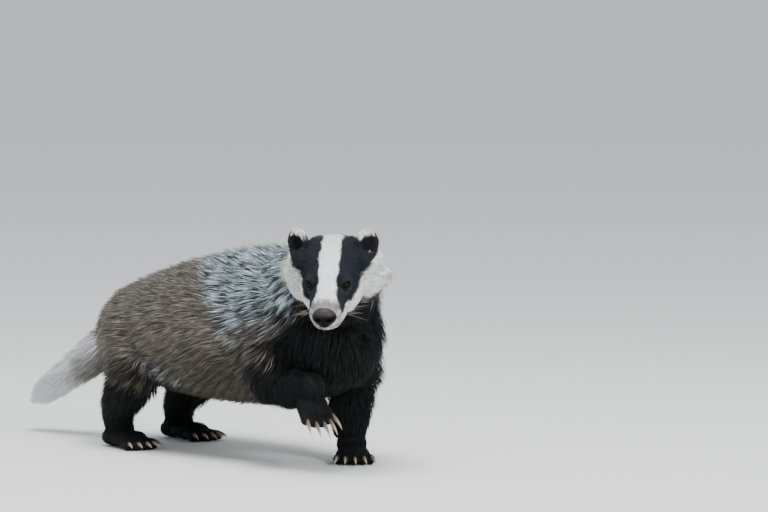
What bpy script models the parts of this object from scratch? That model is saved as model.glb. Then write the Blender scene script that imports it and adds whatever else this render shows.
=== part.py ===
"""European badger, walking on three feet with the right forefoot lifted and the head turned to its right.

A life-size still model in metres, +X towards the chest, +Y to the animal's left, +Z up, standing on z = 0.
Soft forms are lofts and balls that are fused and smoothed, then parted from each other by thin cuts.
"""

import math
import random

import bmesh
import bpy
from mathutils import Matrix, Vector
from mathutils.bvhtree import BVHTree

GAP = 0.0003
# The middle of the box round the whole model, as the numbers below are written.
BOX_MIDDLE = Vector((-0.0516, -0.0056, 0.0))

# Coat depth, from the skin to the outline, and the share of it that the core leaves to the locks.
# The belly has no locks, so its core comes close to the outline.
TRUNK_COAT = 0.022
NECK_COAT = 0.020
TAIL_COAT = 0.018
CORE_INSET = 0.5
BELLY_INSET = 0.003

# The trunk: x, back line, belly line and half width, from rump to chest.
TRUNK = (
    (-0.270, 0.182, 0.130, 0.020),
    (-0.260, 0.198, 0.112, 0.042),
    (-0.240, 0.214, 0.098, 0.066),
    (-0.205, 0.231, 0.085, 0.093),
    (-0.150, 0.249, 0.077, 0.109),
    (-0.070, 0.272, 0.071, 0.116),
    (0.010, 0.287, 0.069, 0.112),
    (0.080, 0.293, 0.072, 0.104),
    (0.140, 0.295, 0.079, 0.096),
    (0.190, 0.288, 0.092, 0.091),
    (0.228, 0.268, 0.112, 0.078),
    (0.252, 0.243, 0.138, 0.056),
    (0.262, 0.220, 0.165, 0.028),
)
# Neck and tail: a point on the axis, half width and half height.
NECK = (
    ((0.130, 0.000, 0.200), 0.088, 0.088),
    ((0.185, -0.006, 0.228), 0.084, 0.084),
    ((0.230, -0.023, 0.258), 0.072, 0.072),
    ((0.253, -0.038, 0.276), 0.052, 0.052),
)
TAIL = (
    ((-0.215, 0.000, 0.168), 0.034, 0.032),
    ((-0.262, -0.009, 0.142), 0.035, 0.031),
    ((-0.305, -0.016, 0.117), 0.032, 0.029),
    ((-0.365, -0.023, 0.083), 0.026, 0.023),
    ((-0.405, -0.027, 0.060), 0.019, 0.017),
)

# The head's own frame: F to the nose, S to the animal's left and U up, from the middle of the skull.
HEAD = Vector((0.2680, -0.0555, 0.2790))
HEAD_YAW = math.radians(-47.5)
HEAD_PITCH = math.radians(-31.0)
CHEEK = Vector((-0.004, 0.0370, -0.0230))
CHEEK_RADII = Vector((0.040, 0.0320, 0.0370))
MUZZLE = (
    ((0.018, 0, -0.004), 0.038, 0.032),
    ((0.045, 0, -0.007), 0.0290, 0.0265),
    ((0.068, 0, -0.010), 0.0240, 0.0220),
    ((0.090, 0, -0.012), 0.0230, 0.0195),
    ((0.102, 0, -0.0125), 0.0205, 0.0175),
    ((0.107, 0, -0.013), 0.0150, 0.0125),
)
JAW = (
    ((0.010, 0, -0.036), 0.026, 0.016),
    ((0.050, 0, -0.0335), 0.0190, 0.0125),
    ((0.078, 0, -0.0320), 0.0150, 0.0095),
    ((0.091, 0, -0.0305), 0.0090, 0.0060),
)
# The line of the mouth, from its left corner to the front.
MOUTH = (
    (0.040, 0.0285, -0.0265),
    (0.060, 0.0235, -0.0262),
    (0.080, 0.0195, -0.0268),
    (0.094, 0.0150, -0.0272),
    (0.1010, 0.0080, -0.0270),
    (0.1025, 0.0000, -0.0268),
)
MOUTH_DEPTH = 0.0050
MOUTH_WIDTH = 0.0009
NOSE = Vector((0.1045, 0.0, -0.0095))
NOSE_RADII = Vector((0.0120, 0.0165, 0.0125))
NOSTRIL = Vector((0.0105, 0.0066, 0.0010))
EYE = Vector((0.0500, 0.0205, 0.0075))
EYE_RADIUS = 0.0068
EYE_LOOK = Vector((0.66, 0.58, 0.42))
EYE_OPENING = Vector((0.0080, 0.0055, 0.0044))
LID = 0.0017
EAR = Vector((-0.010, 0.0460, 0.0275))
EAR_RADII = Vector((0.0105, 0.0180, 0.0215))
EAR_LOOK = Vector((0.80, 0.42, 0.10))
EAR_CUP = Vector((0.0095, 0.0125, 0.0160))

# Shoulder and haunch: centre and radii of a ball on each side.
SHOULDER = ((0.146, 0.062, 0.172), (0.058, 0.036, 0.080))
HAUNCH = ((-0.160, 0.054, 0.150), (0.064, 0.048, 0.076))
# Limbs, from the top down: joints and radii.
FORE_LEFT = (
    ((0.150, 0.060, 0.185), 0.040),
    ((0.158, 0.069, 0.140), 0.038),
    ((0.153, 0.072, 0.105), 0.037),
    ((0.163, 0.060, 0.065), 0.0300),
    ((0.169, 0.055, 0.034), 0.0235),
)
FORE_RIGHT = (
    ((0.150, -0.056, 0.185), 0.040),
    ((0.158, -0.070, 0.140), 0.037),
    ((0.165, -0.079, 0.116), 0.033),
    ((0.200, -0.071, 0.109), 0.0285),
    ((0.226, -0.063, 0.110), 0.0230),
)
HIND_LEFT = (
    ((-0.175, 0.055, 0.160), 0.050),
    ((-0.150, 0.070, 0.118), 0.046),
    ((-0.186, 0.072, 0.085), 0.035),
    ((-0.222, 0.067, 0.052), 0.0250),
    ((-0.222, 0.065, 0.028), 0.0220),
)
HIND_RIGHT = (
    ((-0.165, -0.055, 0.160), 0.050),
    ((-0.125, -0.072, 0.118), 0.046),
    ((-0.155, -0.074, 0.085), 0.035),
    ((-0.187, -0.069, 0.052), 0.0250),
    ((-0.187, -0.067, 0.028), 0.0220),
)

# Paws in their own frame: X along the toes, Z to the back of the paw, the sole at zero.
FORE_PAD = (
    ((-0.002, 0, 0.024), (0.021, 0.020, 0.024)),
    ((0.014, 0, 0.013), (0.026, 0.023, 0.014)),
)
HIND_PAD = (
    ((-0.002, 0, 0.024), (0.020, 0.020, 0.024)),
    ((-0.012, 0, 0.013), (0.022, 0.019, 0.014)),
    ((0.020, 0, 0.012), (0.036, 0.023, 0.013)),
)
# Each toe: sideways place, the tip's place ahead of the toe's root, and its turn outwards.
TOES = (
    (-0.0190, 0.012, -14),
    (-0.0100, 0.019, -6),
    (0.0, 0.022, 0),
    (0.0100, 0.020, 6),
    (0.0190, 0.014, 14),
)
TOE_RADIUS = 0.0068
FORE_TOE_ROOT = 0.022
HIND_TOE_ROOT = 0.040
FORE_CLAW = 0.023
HIND_CLAW = 0.014
CLAW_RADIUS = 0.0030

# Locks: half thickness, how deep the root sits, then rows along the body, locks in a row, length and width.
LOCK_THICK = 0.0050
LOCK_SINK = 0.0060
TRUNK_LOCKS = {"from": 0.195, "to": -0.245, "rows": 8, "count": 8, "length": 0.102, "width": 0.056}
NECK_LOCKS = {"rows": 2, "count": 8, "length": 0.078, "width": 0.048}
TAIL_LOCKS = {"rows": 3, "count": 4, "length": 0.080, "width": 0.034}
RUFF_LOCKS = {"count": 5, "length": 0.036, "width": 0.024}

COLOURS = {
    "coat_grey": ((0.30, 0.27, 0.24), 0.85),
    "coat_black": ((0.025, 0.024, 0.026), 0.80),
    "coat_head": ((0.72, 0.71, 0.68), 0.80),
    "coat_tail": ((0.66, 0.62, 0.56), 0.85),
    "nose_skin": ((0.045, 0.032, 0.030), 0.40),
    "eye_glass": ((0.020, 0.012, 0.008), 0.08),
    "claw_horn": ((0.33, 0.27, 0.20), 0.45),
}


def clear_scene():
    for obj in list(bpy.data.objects):
        bpy.data.objects.remove(obj, do_unlink=True)


def collection(name):
    found = bpy.data.collections.new(name)
    bpy.context.scene.collection.children.link(found)
    return found


def give_material(obj, slot):
    """Gives obj a material of its own in the colour of its slot."""
    made = bpy.data.materials.new(slot + "_" + obj.name)
    made.use_nodes = True
    colour, roughness = COLOURS[slot]
    shader = made.node_tree.nodes["Principled BSDF"]
    shader.inputs["Base Color"].default_value = (*colour, 1.0)
    shader.inputs["Roughness"].default_value = roughness
    obj.data.materials.clear()
    obj.data.materials.append(made)


def new_object(name, mesh, into):
    obj = bpy.data.objects.new(name, mesh)
    into.objects.link(obj)
    return obj


def drop(obj):
    mesh = obj.data
    bpy.data.objects.remove(obj, do_unlink=True)
    bpy.data.meshes.remove(mesh)


def applied(obj):
    """Replaces obj's mesh by what its modifiers make of it."""
    bpy.context.view_layer.update()
    graph = bpy.context.evaluated_depsgraph_get()
    made = bpy.data.meshes.new_from_object(obj.evaluated_get(graph))
    old = obj.data
    obj.modifiers.clear()
    obj.data = made
    bpy.data.meshes.remove(old)
    return obj


def copy_of(obj, into, grow=0.0):
    """A copy of obj, pushed out along its normals by grow."""
    bm = bmesh.new()
    bm.from_mesh(obj.data)
    bm.normal_update()
    for vert in bm.verts:
        vert.co += vert.normal * grow
    mesh = bpy.data.meshes.new(obj.name)
    bm.to_mesh(mesh)
    bm.free()
    twin = new_object(obj.name, mesh, into)
    twin.matrix_world = obj.matrix_world
    return twin


def settle(obj, frame):
    """Moves obj's mesh from frame into the world."""
    obj.data.transform(frame)
    return obj


def looking(point, direction, up=(0, 0, 1)):
    """A frame at point whose X follows direction and whose Z leans to up."""
    x = Vector(direction).normalized()
    y = Vector(up).cross(x).normalized()
    z = x.cross(y)
    turn = Matrix((x, y, z)).transposed().to_4x4()
    return Matrix.Translation(Vector(point)) @ turn


HEAD_FRAME = (
    Matrix.Translation(HEAD)
    @ Matrix.Rotation(HEAD_YAW, 4, "Z")
    @ Matrix.Rotation(-HEAD_PITCH, 4, "Y")
)


def loft(sections, into, sides=16, up=(0, 0, 1), tip=0.0):
    """A closed tube of oval rings. A section is a point, half width and half height."""
    bm = bmesh.new()
    points = [Vector(point) for point, _, _ in sections]
    rings = []
    for i, (_, half_width, half_height) in enumerate(sections):
        ahead = points[min(i + 1, len(points) - 1)] - points[max(i - 1, 0)]
        side = Vector(up).cross(ahead).normalized()
        rise = ahead.cross(side).normalized()
        corners = []
        for k in range(sides):
            angle = math.tau * k / sides
            offset = side * half_width * math.cos(angle) + rise * half_height * math.sin(angle)
            corners.append(bm.verts.new(points[i] + offset))
        rings.append(corners)
    for low, high in zip(rings, rings[1:]):
        for k in range(sides):
            j = (k + 1) % sides
            bm.faces.new((low[k], low[j], high[j], high[k]))
    bm.faces.new(list(reversed(rings[0])))
    if tip:
        apex = bm.verts.new(points[-1] + (points[-1] - points[-2]) * tip)
        for k in range(sides):
            bm.faces.new((rings[-1][k], rings[-1][(k + 1) % sides], apex))
    else:
        bm.faces.new(rings[-1])
    bmesh.ops.recalc_face_normals(bm, faces=bm.faces)
    mesh = bpy.data.meshes.new("loft")
    bm.to_mesh(mesh)
    bm.free()
    return new_object("loft", mesh, into)


def ball(centre, radii, into, frame=Matrix.Identity(4), segments=14, rows=9):
    bm = bmesh.new()
    bmesh.ops.create_uvsphere(bm, u_segments=segments, v_segments=rows, radius=1.0)
    place = frame @ Matrix.Translation(Vector(centre)) @ Matrix.Diagonal((*radii, 1.0))
    bmesh.ops.transform(bm, matrix=place, verts=bm.verts)
    mesh = bpy.data.meshes.new("ball")
    bm.to_mesh(mesh)
    bm.free()
    return new_object("ball", mesh, into)


def box(centre, half, frame, into):
    bm = bmesh.new()
    bmesh.ops.create_cube(bm, size=2.0)
    place = frame @ Matrix.Translation(Vector(centre)) @ Matrix.Diagonal((*half, 1.0))
    bmesh.ops.transform(bm, matrix=place, verts=bm.verts)
    mesh = bpy.data.meshes.new("box")
    bm.to_mesh(mesh)
    bm.free()
    return new_object("box", mesh, into)


def fused(name, pieces, voxel, smooth, triangles, into):
    """One smooth closed surface round all pieces, thinned to about so many triangles."""
    bm = bmesh.new()
    for piece in pieces:
        bm.from_mesh(piece.data)
        drop(piece)
    mesh = bpy.data.meshes.new(name)
    bm.to_mesh(mesh)
    bm.free()
    obj = new_object(name, mesh, into)
    remesh = obj.modifiers.new("fuse", "REMESH")
    remesh.mode = "VOXEL"
    remesh.voxel_size = voxel
    blend = obj.modifiers.new("blend", "SMOOTH")
    blend.factor = 0.5
    blend.iterations = smooth
    return thinned(applied(obj), triangles)


def thinned(obj, triangles):
    """Collapses obj's shortest and flattest edges until about so many triangles are left."""
    obj.data.calc_loop_triangles()
    thin = obj.modifiers.new("thin", "DECIMATE")
    thin.ratio = min(1.0, triangles / len(obj.data.loop_triangles))
    return applied(obj)


def combine(obj, operation, others):
    """Applies one Boolean of obj with all others, which are then removed."""
    operands = collection("operands")
    for other in others:
        for owner in list(other.users_collection):
            owner.objects.unlink(other)
        operands.objects.link(other)
    step = obj.modifiers.new("combine", "BOOLEAN")
    step.operation = operation
    step.solver = "MANIFOLD"
    step.operand_type = "COLLECTION"
    step.collection = operands
    applied(obj)
    for other in others:
        drop(other)
    bpy.data.collections.remove(operands)
    return obj


def keep_largest(obj):
    """Keeps only the closed surface that reaches furthest."""
    bm = bmesh.new()
    bm.from_mesh(obj.data)
    bmesh.ops.triangulate(bm, faces=bm.faces)
    left = set(bm.verts)
    shells = []
    while left:
        stack = [left.pop()]
        shell = []
        while stack:
            vert = stack.pop()
            shell.append(vert)
            for edge in vert.link_edges:
                other = edge.other_vert(vert)
                if other in left:
                    left.remove(other)
                    stack.append(other)
        spans = [[v.co[k] for v in shell] for k in range(3)]
        shells.append((sum(max(span) - min(span) for span in spans), len(shells), shell))
    shells.sort()
    loose = [vert for _, _, shell in shells[:-1] for vert in shell]
    bmesh.ops.delete(bm, geom=loose, context="VERTS")
    bm.to_mesh(obj.data)
    bm.free()
    return obj


def trunk_sections(inset):
    """The trunk's rings, drawn in by inset all round."""
    last = len(TRUNK) - 1
    sections = []
    for i, (x, back, belly, half_width) in enumerate(TRUNK):
        x += inset * {0: 1.0, 1: 0.6, last - 1: -0.6, last: -1.0}.get(i, 0.0)
        top = back - inset
        low = belly + min(inset, BELLY_INSET)
        sections.append(((x, 0, (top + low) / 2), half_width - inset, (top - low) / 2))
    return sections


def drawn_in(sections, inset):
    return [(point, width - inset, height - inset) for point, width, height in sections]


def mouth_line():
    """The line of the mouth from the left corner round the front to the right corner."""
    return list(MOUTH) + [(f, -s, u) for f, s, u in reversed(MOUTH[:-1])]


def skin_of(obj):
    bm = bmesh.new()
    bm.from_mesh(obj.data)
    surface = BVHTree.FromBMesh(bm)
    bm.free()
    return surface


def lock(points, normals, widths, heights, surface, into):
    """A flat lock: rings of four corners laid over the surface at each height, and a pointed tip."""
    bm = bmesh.new()
    rings = []
    for i in range(len(points) - 1):
        ahead = (points[i + 1] - points[max(i - 1, 0)]).normalized()
        normal = normals[i]
        side = normal.cross(ahead).normalized()
        corners = []
        for across, lift in ((1, -0.5), (0, 1), (-1, -0.5), (0, -1)):
            spot = points[i] + side * widths[i] * across
            if across:
                near, _, _, _ = surface.find_nearest(spot)
                fall = (near - spot).dot(normal)
                spot += normal * max(-0.008, min(0.0, fall))
            corners.append(bm.verts.new(spot + normal * (heights[i] + lift * LOCK_THICK)))
        rings.append(corners)
    for low, high in zip(rings, rings[1:]):
        for k in range(4):
            j = (k + 1) % 4
            bm.faces.new((low[k], low[j], high[j], high[k]))
    bm.faces.new(list(reversed(rings[0])))
    apex = bm.verts.new(points[-1] + normals[-1] * heights[-1])
    for k in range(4):
        bm.faces.new((rings[-1][k], rings[-1][(k + 1) % 4], apex))
    bmesh.ops.recalc_face_normals(bm, faces=bm.faces)
    mesh = bpy.data.meshes.new("lock")
    bm.to_mesh(mesh)
    bm.free()
    return new_object("lock", mesh, into)


def lay_lock(surface, root, lie, size, rise, into):
    """Lays a lock over the surface from root, along what lie gives at each place."""
    length = size["length"] * random.uniform(0.88, 1.12)
    width = size["width"] * random.uniform(0.88, 1.12)
    point, normal, _, _ = surface.find_nearest(root)
    points = [point]
    normals = [normal]
    for share in (0.36, 0.34, 0.30):
        way = lie(point, normal)
        way = (way - normal * way.dot(normal)).normalized()
        point, normal, _, _ = surface.find_nearest(point + way * length * share)
        points.append(point)
        normals.append(normal)
    heights = (-LOCK_SINK, rise * 0.30, rise * 0.72, rise)
    widths = (width * 0.34, width * 0.50, width * 0.34, 0.0)
    return lock(points, normals, widths, heights, surface, into)


def free_lock(surface, root, way, size, into):
    """Sets a lock that leaves the surface at root and runs straight out along way."""
    length = size["length"] * random.uniform(0.90, 1.10)
    width = size["width"] * random.uniform(0.90, 1.10)
    point, normal, _, _ = surface.find_nearest(root)
    way = Vector(way).normalized()
    flat = (normal - way * normal.dot(way)).normalized()
    points = [point + way * length * share for share in (-0.15, 0.30, 0.62, 1.0)]
    normals = [flat] * 4
    widths = (width * 0.40, width * 0.50, width * 0.32, 0.0)
    heights = (-LOCK_SINK, -LOCK_THICK, -LOCK_THICK, 0.0)
    return lock(points, normals, widths, heights, surface, into)


def trunk_lie(point, normal):
    """Backwards along the back, more downwards on the flanks and the rump."""
    rump = max(0.0, min(1.0, (-0.12 - point.x) / 0.14))
    down = 0.10 + (0.42 + 0.55 * rump) * (1.0 - max(0.0, normal.z))
    return Vector((-1.0, 0.0, -down))


def neck_lie(point, normal):
    return Vector((-0.80, 0.20, -0.45 - 0.30 * (1.0 - max(0.0, normal.z))))


def tail_lie(point, normal):
    return Vector((-0.86, -0.10, -0.50))


def trunk_middle(x):
    """The height of the trunk's axis at x."""
    for low, high in zip(TRUNK, TRUNK[1:]):
        if low[0] <= x <= high[0]:
            share = (x - low[0]) / (high[0] - low[0])
            return (low[1] + low[2]) / 2 * (1 - share) + (high[1] + high[2]) / 2 * share
    return 0.18


def trunk_locks(surface, into):
    """Rows of locks from the shoulders to the rump, over the back and down both flanks."""
    size = TRUNK_LOCKS
    made = []
    for row in range(size["rows"]):
        x = size["from"] + (size["to"] - size["from"]) * row / (size["rows"] - 1)
        for k in range(size["count"]):
            turn = -30 + 240 * (k + 0.5 * (row % 2)) / (size["count"] - 0.5)
            turn = math.radians(turn + random.uniform(-5, 5))
            start = Vector((x + random.uniform(-0.008, 0.008), 0, trunk_middle(x)))
            hit, _, _, _ = surface.ray_cast(start, Vector((0, math.cos(turn), math.sin(turn))))
            rise = TRUNK_COAT * CORE_INSET * random.uniform(0.85, 1.10)
            made.append(lay_lock(surface, hit, trunk_lie, size, rise, into))
    return made


def ring_locks(surface, sections, places, size, lie, rise, into):
    """Rings of locks round a tube; places are shares of the way along its sections."""
    made = []
    for row, place in enumerate(places):
        spot = place * (len(sections) - 1)
        low = min(int(spot), len(sections) - 2)
        start = Vector(sections[low][0]).lerp(Vector(sections[low + 1][0]), spot - low)
        axis = (Vector(sections[low + 1][0]) - Vector(sections[low][0])).normalized()
        side = Vector((0, 0, 1)).cross(axis).normalized()
        up = axis.cross(side)
        for k in range(size["count"]):
            turn = math.tau * (k + 0.5 * (row % 2)) / size["count"] + random.uniform(-0.12, 0.12)
            hit, _, _, _ = surface.ray_cast(start, side * math.cos(turn) + up * math.sin(turn))
            made.append(lay_lock(surface, hit, lie, size, rise * random.uniform(0.9, 1.1), into))
    return made


def tail_tuft(surface, into):
    """The last locks of the tail, which run on past the core's end."""
    end = Vector(TAIL[-1][0])
    made = []
    for turn in (20, 140, 260):
        way = math.radians(turn)
        out = Vector((0.45 * math.sin(way), math.cos(way), 0.85 * math.sin(way)))
        root = end + out * TAIL[-1][1] * 0.5
        run = Vector((-0.86, -0.10, -0.50)) + out * 0.06
        made.append(free_lock(surface, root, run, {"length": 0.036, "width": 0.026}, into))
    return made


def ruff_locks(surface, into):
    """The cheek ruff: locks that leave the back rim of each cheek."""
    made = []
    turn = HEAD_FRAME.to_3x3()
    for side in (1, -1):
        for k in range(RUFF_LOCKS["count"]):
            around = math.radians(2 - 22 * k + random.uniform(-4, 4))
            spread = Vector((0, side * math.cos(around), math.sin(around)))
            middle = Vector((CHEEK.x - 0.004, side * CHEEK.y, CHEEK.z))
            root = HEAD_FRAME @ (middle + spread * 0.034)
            way = turn @ (Vector((-0.50, 0, 0)) + spread * 0.24) + Vector((0, 0, -0.50))
            made.append(free_lock(surface, root, way, RUFF_LOCKS, into))
    return made


def head_masses(into):
    """Skull, brow, cheeks, throat, muzzle, lower jaw and lips, and the end of the neck."""
    pieces = [
        ball((0.000, 0, 0.000), (0.052, 0.047, 0.0375), into, HEAD_FRAME),
        ball((0.028, 0, 0.003), (0.036, 0.034, 0.027), into, HEAD_FRAME),
        ball((0.012, 0, -0.034), (0.046, 0.036, 0.022), into, HEAD_FRAME),
    ]
    for side in (1, -1):
        pieces.append(ball((CHEEK.x, side * CHEEK.y, CHEEK.z), CHEEK_RADII, into, HEAD_FRAME))
        pieces.append(ball((0.043, side * 0.0235, 0.0110), (0.016, 0.010, 0.009), into, HEAD_FRAME))
    for sections in (MUZZLE, JAW):
        pieces.append(settle(loft(sections, into), HEAD_FRAME))
    for rise in (0.0022, -0.0030):
        rim = [((f, s, u + rise), 0.0026, 0.0022) for f, s, u in mouth_line()]
        pieces.append(settle(loft(rim, into, sides=8), HEAD_FRAME))
    pieces.append(loft(drawn_in(NECK, NECK_COAT * CORE_INSET)[1:], into, sides=20))
    return pieces


def body_masses(into):
    """Trunk, neck, tail, shoulders, haunches and limbs, and the head's masses."""
    inset = TRUNK_COAT * CORE_INSET
    pieces = head_masses(into)
    pieces.append(loft(trunk_sections(inset), into, sides=24))
    pieces.append(loft(drawn_in(NECK, NECK_COAT * CORE_INSET), into, sides=20))
    pieces.append(loft(drawn_in(TAIL, TAIL_COAT * CORE_INSET), into, sides=12, tip=0.5))
    for joints in (FORE_LEFT, FORE_RIGHT, HIND_LEFT, HIND_RIGHT):
        sections = [(point, radius, radius) for point, radius in joints]
        pieces.append(loft(sections, into, sides=12, up=(1, 0, 0.2)))
    for side in (1, -1):
        for centre, radii in (SHOULDER, HAUNCH):
            radii = (radii[0] - inset / 2, radii[1] - inset / 2, radii[2] - inset / 2)
            pieces.append(ball((centre[0], side * centre[1], centre[2]), radii, into))
    return pieces


def claw_shape(length, into):
    """A claw along X from its root: deep at the base, arched, with the point turned down."""
    return loft(
        (
            ((-0.005, 0, -0.0005), CLAW_RADIUS * 0.75, CLAW_RADIUS * 0.85),
            ((0.0, 0, 0.0005), CLAW_RADIUS * 0.80, CLAW_RADIUS),
            ((length * 0.55, 0, 0.0002), CLAW_RADIUS * 0.60, CLAW_RADIUS * 0.75),
            ((length * 0.85, 0, -0.0022), CLAW_RADIUS * 0.30, CLAW_RADIUS * 0.35),
        ),
        into,
        sides=6,
        tip=0.5,
    )


def paw(frame, pad, toe_root, claw_length, name, side, into):
    """A paw with five toes and its claws, which sit in sockets a gap wide."""
    pieces = [ball(centre, radii, into, frame) for centre, radii in pad]
    claws = []
    for number, (across, ahead, turn) in enumerate(TOES, start=1):
        across *= side
        yaw = math.radians(turn * side)
        way = Vector((math.cos(yaw), math.sin(yaw), 0))
        root = Vector((toe_root - 0.014, across * 0.75, 0.0095))
        tip = Vector((toe_root, across, 0.0075)) + way * ahead
        toe = ((root, TOE_RADIUS * 1.05, TOE_RADIUS * 1.1), (tip, TOE_RADIUS, TOE_RADIUS * 0.95))
        pieces.append(settle(loft(toe, into, sides=10), frame))
        pieces.append(ball(tip, (TOE_RADIUS, TOE_RADIUS, TOE_RADIUS * 0.95), into, frame, 12, 8))
        claw = claw_shape(claw_length, into)
        claw.name = "claw_" + name + "_" + str(number)
        place = Matrix.Translation(tip + way * TOE_RADIUS * 0.5 + Vector((0, 0, 0.0016)))
        lean = Matrix.Rotation(math.radians(6), 4, "Y")
        settle(claw, frame @ place @ Matrix.Rotation(yaw, 4, "Z") @ lean)
        claws.append(claw)
    made = fused("paw", pieces, 0.0025, 3, 380, into)
    floor = box((0, 0, -0.05), (0.2, 0.2, 0.05), frame, into)
    combine(made, "DIFFERENCE", [floor])
    return made, claws


# Half the length of the boxes that part the body.
REACH = 0.20


def tilted(x, y, z, degrees):
    return Matrix.Translation((x, y, z)) @ Matrix.Rotation(math.radians(degrees), 4, "X")


# The boxes that part the nodes from the torso: centre and half sizes in a frame of their own.
CELLS = {
    "head": (
        (REACH, 0, 0),
        (REACH, REACH, REACH),
        looking((0.229, -0.028, 0.257), (0.755, -0.33, 0.566)),
    ),
    "tail": (
        (REACH, 0, 0),
        (REACH, 0.07, 0.07),
        looking((-0.266, -0.009, 0.140), (-0.85, -0.14, -0.50)),
    ),
    "foreleg_left": (
        (0.165, 0.0275, -0.12),
        (0.072, 0.1225, 0.12),
        tilted(0, 0.025, 0.086, 43),
    ),
    "foreleg_right": (
        (0.205, -0.0275, -0.12),
        (0.110, 0.1225, 0.12),
        tilted(0, -0.022, 0.098, -48),
    ),
    "hindleg_left": (
        (-0.195, 0.0275, -0.12),
        (0.095, 0.1225, 0.12),
        tilted(0, 0.028, 0.086, 45),
    ),
    "hindleg_right": (
        (-0.185, -0.0275, -0.12),
        (0.105, 0.1225, 0.12),
        tilted(0, -0.028, 0.086, -45),
    ),
    "neck": (
        (REACH, 0, 0),
        (REACH, REACH, REACH),
        looking((0.176, 0, 0.222), (0.80, -0.20, 0.566)),
    ),
}


def cell(name, grow, into):
    centre, half, frame = CELLS[name]
    return box(centre, [size + grow for size in half], frame, into)


def part_body(whole, into):
    """Cuts the body into neck, tail, legs and torso, a gap apart, and clears the head's place."""
    nodes = {}
    for name in CELLS:
        if name != "head":
            piece = copy_of(whole, into)
            piece.name = name
            nodes[name] = keep_largest(combine(piece, "INTERSECT", [cell(name, -GAP / 2, into)]))
        combine(whole, "DIFFERENCE", [cell(name, GAP / 2, into)])
    whole.name = "torso"
    nodes["torso"] = keep_largest(whole)
    return nodes


def make_head(ruff, into):
    """The head with ruff, lids, sockets and mouth, and the ears, eyes and nose that sit in it."""
    head = fused("head", head_masses(into), 0.003, 5, 3000, into)
    combine(head, "UNION", ruff)
    thinned(keep_largest(head), 2000)
    combine(head, "INTERSECT", [cell("head", -GAP / 2, into)])
    lids = []
    cuts = []
    nodes = []
    for side, name in ((1, "left"), (-1, "right")):
        place = Vector((EYE.x, side * EYE.y, EYE.z))
        look = Vector((EYE_LOOK.x, side * EYE_LOOK.y, EYE_LOOK.z)).normalized()
        shell = [EYE_RADIUS + GAP + LID] * 3
        lids.append(ball(place, shell, into, HEAD_FRAME, 12, 8))
        eye = ball(place, [EYE_RADIUS] * 3, into, HEAD_FRAME, 12, 8)
        eye.name = "eye_" + name
        nodes.append(eye)
        cuts.append(copy_of(eye, into, GAP))
        opening = looking(place + look * EYE_RADIUS, look)
        cuts.append(ball((0, 0, 0), EYE_OPENING, into, HEAD_FRAME @ opening, 12, 8))
        ear = make_ear(side, into)
        ear.name = "ear_" + name
        nodes.append(ear)
    combine(head, "UNION", lids)
    for ear in nodes[1::2]:
        cuts.append(copy_of(ear, into, GAP))
    for ear, side in zip(nodes[1::2], (1, -1)):
        combine(ear, "DIFFERENCE", [ear_cup(side, into)])
    nose = make_nose(into)
    cuts.append(copy_of(nose, into, GAP))
    nostrils(nose, into)
    nodes.append(nose)
    line = [(point, MOUTH_DEPTH, MOUTH_WIDTH) for point in mouth_line()]
    cuts.append(settle(loft(line, into, sides=6), HEAD_FRAME))
    combine(head, "DIFFERENCE", cuts)
    nodes.append(keep_largest(head))
    return nodes


def ear_frame(side):
    look = Vector((EAR_LOOK.x, side * EAR_LOOK.y, EAR_LOOK.z))
    return HEAD_FRAME @ looking((EAR.x, side * EAR.y, EAR.z), look)


def make_ear(side, into):
    """The ear's outer form, with a stem that goes down into the head."""
    frame = ear_frame(side)
    pieces = [
        ball((0, 0, 0), EAR_RADII, into, frame),
        ball((-0.002, -side * 0.002, -0.012), (0.012, 0.016, 0.014), into, frame),
    ]
    return fused("ear", pieces, 0.002, 3, 240, into)


def ear_cup(side, into):
    return ball((0.0085, 0, 0.0010), EAR_CUP, into, ear_frame(side), 12, 7)


def make_nose(into):
    wide = NOSE_RADII
    pieces = [
        ball(NOSE, wide, into, HEAD_FRAME),
        ball(NOSE + Vector((0.001, 0, -0.005)), (0.0105, 0.0105, 0.0100), into, HEAD_FRAME),
        ball(NOSE + Vector((-0.004, 0, 0.003)), (0.0110, 0.0150, 0.0100), into, HEAD_FRAME),
    ]
    return fused("nose", pieces, 0.0018, 4, 260, into)


def nostrils(nose, into):
    """Two round pits with a slit outwards, and the groove between them."""
    cuts = []
    for side in (1, -1):
        pit = NOSE + Vector((NOSTRIL.x, side * NOSTRIL.y, NOSTRIL.z))
        cuts.append(ball(pit, (0.0065, 0.0030, 0.0028), into, HEAD_FRAME, 8, 6))
        slit = NOSE + Vector((NOSTRIL.x - 0.003, side * (NOSTRIL.y + 0.0042), NOSTRIL.z - 0.001))
        cuts.append(ball(slit, (0.0040, 0.0052, 0.0011), into, HEAD_FRAME, 8, 4))
    cuts.append(ball(NOSE + Vector((0.0125, 0, -0.008)), (0.0035, 0.0008, 0.0090), into, HEAD_FRAME, 4, 6))
    combine(nose, "DIFFERENCE", cuts)
    keep_largest(nose)


def planted(joints, ahead, yaw):
    """The frame of a paw that stands on the floor under the last joint."""
    x, y, _ = joints[-1][0]
    way = math.radians(yaw)
    return looking((x + ahead, y, 0), (math.cos(way), math.sin(way), 0))


def hanging(joints, direction):
    """The frame of a paw that hangs from the last joint."""
    turn = looking((0, 0, 0), direction, (1, 0, 0.4))
    return Matrix.Translation(Vector(joints[-1][0]) - turn @ Vector((-0.002, 0, 0.024))) @ turn


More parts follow.
